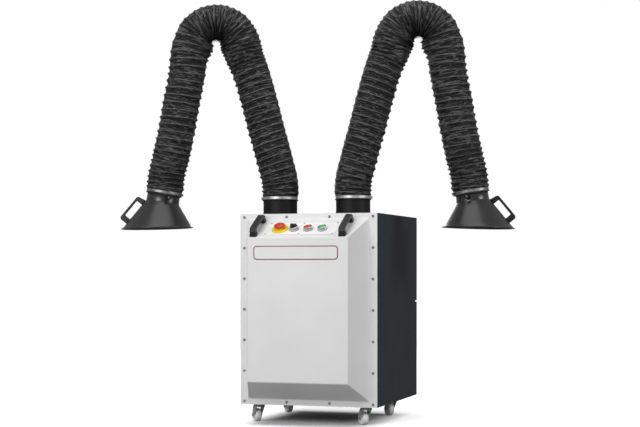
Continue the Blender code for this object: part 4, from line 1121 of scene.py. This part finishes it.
def make_hood(word, side):
    """An oblique spun cone with a short neck, a soft shoulder and a rolled rim."""
    sides = DUCT_SIDES
    neck_end = neck_matrix() @ Vector((0, 0, NECK_LENGTH))
    top = ring_points((neck_end.x, neck_end.z), NECK_RADIUS, HOOD_TILT, sides)
    foot = ring_points(HOOD_JUNCTION, NECK_RADIUS, HOOD_TILT, sides)
    mouth = ring_points(MOUTH_CENTRE, MOUTH_RADIUS - 0.0015, MOUTH_TILT, sides)
    above = mix_ring(foot, top, 0.05)
    below = mix_ring(foot, mouth, 0.018)
    shoulder = mix_ring(mix_ring(above, foot, 0.5), mix_ring(foot, below, 0.5), 0.5)
    cone = [mix_ring(foot, mouth, share) for share in (0.2, 0.4, 0.6, 0.8, 0.955)]
    lip = [point + Vector((0, 0, 0.0015)) for point in mix_ring(foot, mouth, 0.985)]
    rings = [top, above, shoulder, below, *cone, lip, mouth]
    matrix = arm_matrix(side)
    bm = bmesh.new()
    loops = [[bm.verts.new(matrix @ point) for point in ring] for ring in rings]
    for upper, lower in zip(loops, loops[1:]):
        for number in range(sides):
            following = (number + 1) % sides
            bm.faces.new((upper[number], lower[number], lower[following], upper[following]))
    hood = add_piece(f"{word}_hood_cone", bm, "black_paint", HOOD_PAINT, 60)
    wall = hood.modifiers.new("sheet", "SOLIDIFY")
    wall.thickness = HOOD_SHEET
    wall.offset = -1
    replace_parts(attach(hood, f"{word}_head"), f"{word}_hood")
    rim = bmesh.new()
    edge = Matrix.Translation(in_arm(MOUTH_CENTRE)) @ Matrix.Rotation(-MOUTH_TILT, 4, "Y")
    circle = arc((MOUTH_RADIUS - HOOD_BEAD, HOOD_BEAD), HOOD_BEAD, 0, 330, 11)
    add_lathe(rim, circle, sides, matrix @ edge)
    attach(add_piece(f"{word}_hood_rim", rim, "black_paint", HOOD_PAINT), f"{word}_head")


def make_hood_bracket(word, side):
    """The bridge over the damper inside the neck, with the fork and pin of the wrist."""
    place = arm_matrix(side) @ neck_matrix()
    ear = [(-EAR_RADIUS, 0.0940)]
    ear += reversed(arc((0, WRIST_RISE), EAR_RADIUS, 0, 180, 12))
    ear += [(EAR_RADIUS, 0.0940)]
    bm = bmesh.new()
    for edge in (-1, 1):
        post = place @ Matrix.Translation((0, edge * 0.0665, 0))
        add_plate(bm, rounded_rectangle(0.018, 0.005, 0.0015, 2), 0.0485, 0.0980, post)
        foot = place @ Matrix.Translation((0, edge * 0.0705, 0))
        add_plate(bm, rounded_rectangle(0.016, 0.012, 0.0015, 2), 0.0480, 0.0530, foot)
        upright = Matrix.Translation((0, edge * 0.0105, 0)) @ STANDING
        add_plate(bm, ear, -0.0025, 0.0025, place @ upright)
    add_plate(bm, rounded_rectangle(0.020, 0.136, 0.002, 2), 0.0920, 0.0975, place)
    pin = place @ Matrix.Translation((0, 0, WRIST_RISE)) @ STANDING
    add_lathe(bm, [(0, -0.017), (PIN_RADIUS, -0.017), (PIN_RADIUS, 0.017), (0, 0.017)], 24, pin)
    piece = round_edges(add_piece(f"{word}_wrist_bracket", bm, "black_paint"), 0.0006, 2)
    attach(piece, f"{word}_head")


def make_hood_handle(word, side):
    """A flat moulded grip: two thick legs with rounded shoulders and a slimmer bar."""
    upper = ring_points(HOOD_JUNCTION, NECK_RADIUS, HOOD_TILT, 4)[0]
    lower = ring_points(MOUTH_CENTRE, MOUTH_RADIUS, MOUTH_TILT, 4)[0]
    along = (lower - upper).normalized()
    outward = Vector((-along.z, 0, along.x))
    local = Matrix((along, (0, 1, 0), outward)).transposed().to_4x4()
    local.translation = upper
    first, last = GRIP_ENDS
    reach = GRIP_REACH
    corner = GRIP_CORNER
    start = first + GRIP_LEG
    end = last - GRIP_LEG
    underside = reach - GRIP_BAR
    outline = [(first, 0.0005)]
    outline += arc((first + 0.006 + corner, reach - corner), corner, 180, 90, 8)
    outline += arc((last - corner, reach - corner), corner, 90, 0, 8)
    outline += [(last, 0.0005), (end, 0.0005)]
    outline += arc((end - 0.005, underside - 0.005), 0.005, 0, 90, 4)
    outline += arc((start + 0.005, underside - 0.005), 0.005, 90, 180, 4)
    outline += [(start, 0.0005)]
    half = GRIP_WIDTH / 2
    upright = local @ STANDING
    bm = bmesh.new()
    add_plate(bm, outline, -half, half, arm_matrix(side) @ upright)
    piece = round_edges(add_piece(f"{word}_hood_grip", bm, "black_plastic"), 0.0025, 4)
    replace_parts(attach(piece, f"{word}_head"), f"{word}_hood_handle")


def make_damper_knob(word, side):
    """A lobed knob on the damper's spindle, with a collar under it and a screw in it."""
    turn = DAMPER_TURN if side < 0 else math.pi - DAMPER_TURN
    spindle = neck_matrix() @ Matrix.Translation((0, 0, DAMPER_RISE))
    outward = Matrix.Rotation(turn, 4, "Z") @ Matrix.Translation((0, NECK_RADIUS + 0.0010, 0))
    place = arm_matrix(side) @ spindle @ outward @ Matrix.Rotation(-math.pi / 2, 4, "X")
    outline = []
    steps = KNOB_LOBES * 6
    for number in range(steps):
        a = 2 * math.pi * number / steps
        radius = KNOB_RADIUS + KNOB_LOBE_DEPTH * math.cos(KNOB_LOBES * a)
        outline.append((radius * math.cos(a), radius * math.sin(a)))
    bm = bmesh.new()
    add_plate(bm, outline, 0.004, 0.018, place)
    add_lathe(bm, [(0.0, 0.0045), (0.0112, 0.0045), (0.0108, 0.0002), (0.0, 0.0002)], 32, place)
    piece = add_piece(f"{word}_damper_grip", bm, "black_plastic", COLLAR_PAINT)
    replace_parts(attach(round_edges(piece, 0.0012), f"{word}_damper"), f"{word}_damper_knob")
    screw = bmesh.new()
    add_button_screw(screw, place @ Matrix.Translation((0, 0, 0.018)), *DAMPER_SCREW)
    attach(add_piece(f"{word}_damper_screw", screw, "zinc", BAND_STEEL), f"{word}_damper")


def make_clamps(word, side):
    foot = arm_matrix(side)
    make_clamp(word, "base", "swivel", foot, COLLAR_TOP - 0.001, 0.0, CLAMP_STEEL)
    neck = foot @ neck_matrix()
    make_clamp(word, "hood", "head", neck, NECK_LENGTH - 0.001, math.pi, BAND_STEEL)


def make_arm(word, side):
    make_hose(word, side)
    make_collar(word, side)
    make_clamps(word, side)
    make_hood(word, side)
    make_hood_bracket(word, side)
    make_hood_handle(word, side)
    make_damper_knob(word, side)


# Casters
def make_wheel(corner):
    """A turned nylon wheel with rounded shoulders, dished sides and a raised hub."""
    node = f"caster_wheel_{corner}"
    joint = next(row for row in frame["joints"] if row["name"] == f"roll_{corner}")
    axis = Vector(joint["axis"])
    place = Matrix.Translation(joint["pos_m"]) @ axis.to_track_quat("Z", "Y").to_matrix().to_4x4()
    radius = joint["pos_m"][2]
    half = [
        (radius, 0.0085),
        (radius - 0.0006, 0.0105),
        (radius - 0.0025, 0.0130),
        (0.0255, 0.0140),
        (0.0240, 0.0120),
        (0.0150, 0.0115),
        (0.0130, 0.0150),
        (0.0120, 0.0170),
        (0.0048, 0.0170),
    ]
    other_half = [(r, -z) for r, z in reversed(half)]
    bm = bmesh.new()
    add_lathe(bm, half + other_half, WHEEL_SIDES, place)
    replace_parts(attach(add_piece(f"wheel_{corner}", bm, "nylon"), f"wheel_{corner}"), node)


# Studio
def painted_shadow_distance(nodes, links):
    """Distance on the floor from the painted shadow's box under the machine, 0 inside it."""
    place = nodes.new("ShaderNodeTexCoord")
    vector = place.outputs["Object"]
    steps = (("ABSOLUTE", None), ("SUBTRACT", (*PAINTED_SHADOW_BOX, 0)), ("MAXIMUM", (0, 0, 0)))
    for operation, operand in steps:
        step = nodes.new("ShaderNodeVectorMath")
        step.operation = operation
        if operand is not None:
            step.inputs[1].default_value = operand
        links.new(vector, step.inputs[0])
        vector = step.outputs["Vector"]
    distance = nodes.new("ShaderNodeVectorMath")
    distance.operation = "LENGTH"
    links.new(vector, distance.inputs[0])
    return distance.outputs["Value"]


def floor_lift(nodes, links):
    """Emission that rises smoothly beside the painted shadow's box, then slowly towards the
    horizon.
    """
    distance = painted_shadow_distance(nodes, links)
    total = nodes.new("ShaderNodeMath")
    stretches = zip(FLOOR_LIFTS, FLOOR_LIFTS[1:], ("SMOOTHSTEP", "LINEAR"))
    for number, ((near, low), (far, high), shape) in enumerate(stretches):
        rise = nodes.new("ShaderNodeMapRange")
        rise.interpolation_type = shape
        rise.inputs["From Min"].default_value = near
        rise.inputs["From Max"].default_value = far
        rise.inputs["To Max"].default_value = high - low
        links.new(distance, rise.inputs["Value"])
        links.new(rise.outputs["Result"], total.inputs[number])
    return total.outputs["Value"]


def make_floor():
    bm = bmesh.new()
    bmesh.ops.create_grid(bm, x_segments=1, y_segments=1, size=FLOOR_SIZE)
    mesh = bpy.data.meshes.new("floor")
    bm.to_mesh(mesh)
    bm.free()
    floor = bpy.data.objects.new("floor", mesh)
    bpy.context.scene.collection.objects.link(floor)
    material, nodes, links, shader = shader_nodes("floor_white")
    shader.inputs["Roughness"].default_value = 0.9
    shader.inputs["Specular IOR Level"].default_value = 0.0
    shader.inputs["Emission Color"].default_value = (1, 1, 1, 1)
    path = nodes.new("ShaderNodeLightPath")
    seen = path.outputs["Is Camera Ray"]
    colour = tint(nodes, links, seen, (FLOOR_BOUNCE,) * 3, (FLOOR_SEEN,) * 3)
    links.new(colour, shader.inputs["Base Color"])
    # Painted shadow: the lift seen by the camera is withheld under the machine
    lift = nodes.new("ShaderNodeMath")
    lift.operation = "MULTIPLY"
    links.new(seen, lift.inputs[0])
    links.new(floor_lift(nodes, links), lift.inputs[1])
    links.new(lift.outputs["Value"], shader.inputs["Emission Strength"])
    mesh.materials.append(material)


def make_world():
    world = bpy.data.worlds.new("studio")
    bpy.context.scene.world = world
    world.use_nodes = True
    nodes = world.node_tree.nodes
    links = world.node_tree.links
    background = nodes["Background"]
    path = nodes.new("ShaderNodeLightPath")
    seen = nodes.new("ShaderNodeMath")
    seen.operation = "MAXIMUM"
    links.new(path.outputs["Is Camera Ray"], seen.inputs[0])
    links.new(path.outputs["Is Transmission Ray"], seen.inputs[1])
    strength = nodes.new("ShaderNodeMapRange")
    strength.inputs["To Min"].default_value = AMBIENT
    strength.inputs["To Max"].default_value = 1.0
    links.new(seen.outputs["Value"], strength.inputs["Value"])
    background.inputs["Color"].default_value = (1, 1, 1, 1)
    links.new(strength.outputs["Result"], background.inputs["Strength"])


def add_lamp(name, place, target, size, power):
    data = bpy.data.lights.new(name, "AREA")
    data.shape = "RECTANGLE"
    data.size, data.size_y = size
    data.energy = power
    lamp = bpy.data.objects.new(name, data)
    bpy.context.scene.collection.objects.link(lamp)
    lamp.location = place
    lamp.rotation_euler = (Vector(target) - Vector(place)).to_track_quat("-Z", "Y").to_euler()


def make_lamps():
    add_lamp("key", (-1.3, -4.9, 2.5), target=(0, 0, 0.9), size=(2.4, 2.4), power=155)
    add_lamp("side", (4.4, -1.0, 2.4), target=(0.3, -0.2, 1.0), size=(1.4, 1.4), power=75)
    add_lamp("top", (0.0, -0.6, 4.2), target=(0, 0, 0.6), size=(3.0, 3.0), power=55)
    add_lamp("back", (-2.4, 4.6, 2.4), target=(0, 0.2, 0.8), size=(2.4, 2.4), power=90)


def make_camera():
    data = bpy.data.cameras.new("camera")
    data.lens = CAMERA_LENS
    data.shift_y = CAMERA_SHIFT_Y
    camera = bpy.data.objects.new("camera", data)
    bpy.context.scene.collection.objects.link(camera)
    camera.location = CAMERA_PLACE
    camera.rotation_euler = Vector(CAMERA_HEADING).to_track_quat("-Z", "Y").to_euler()
    bpy.context.scene.camera = camera


dress_frame()
make_cover_screws()
make_bare_badge()
make_estop()
make_bezel(1, "selector_bezel")
make_bezel(2, "stop_bezel")
make_bezel(3, "start_bezel")
make_selector()
make_push_button(2, "stop_button", "stop", "red_plastic")
make_push_button(3, "start_button", "start", "green_plastic")
make_front_handle("left_front_handle", -HANDLE_X)
make_front_handle("right_front_handle", HANDLE_X)
make_arm("left", -1)
make_arm("right", 1)
for caster in ("front_left", "front_right", "rear_left", "rear_right"):
    make_wheel(caster)
make_floor()
make_world()
make_lamps()
make_camera()
bpy.context.scene.view_settings.view_transform = "Standard"
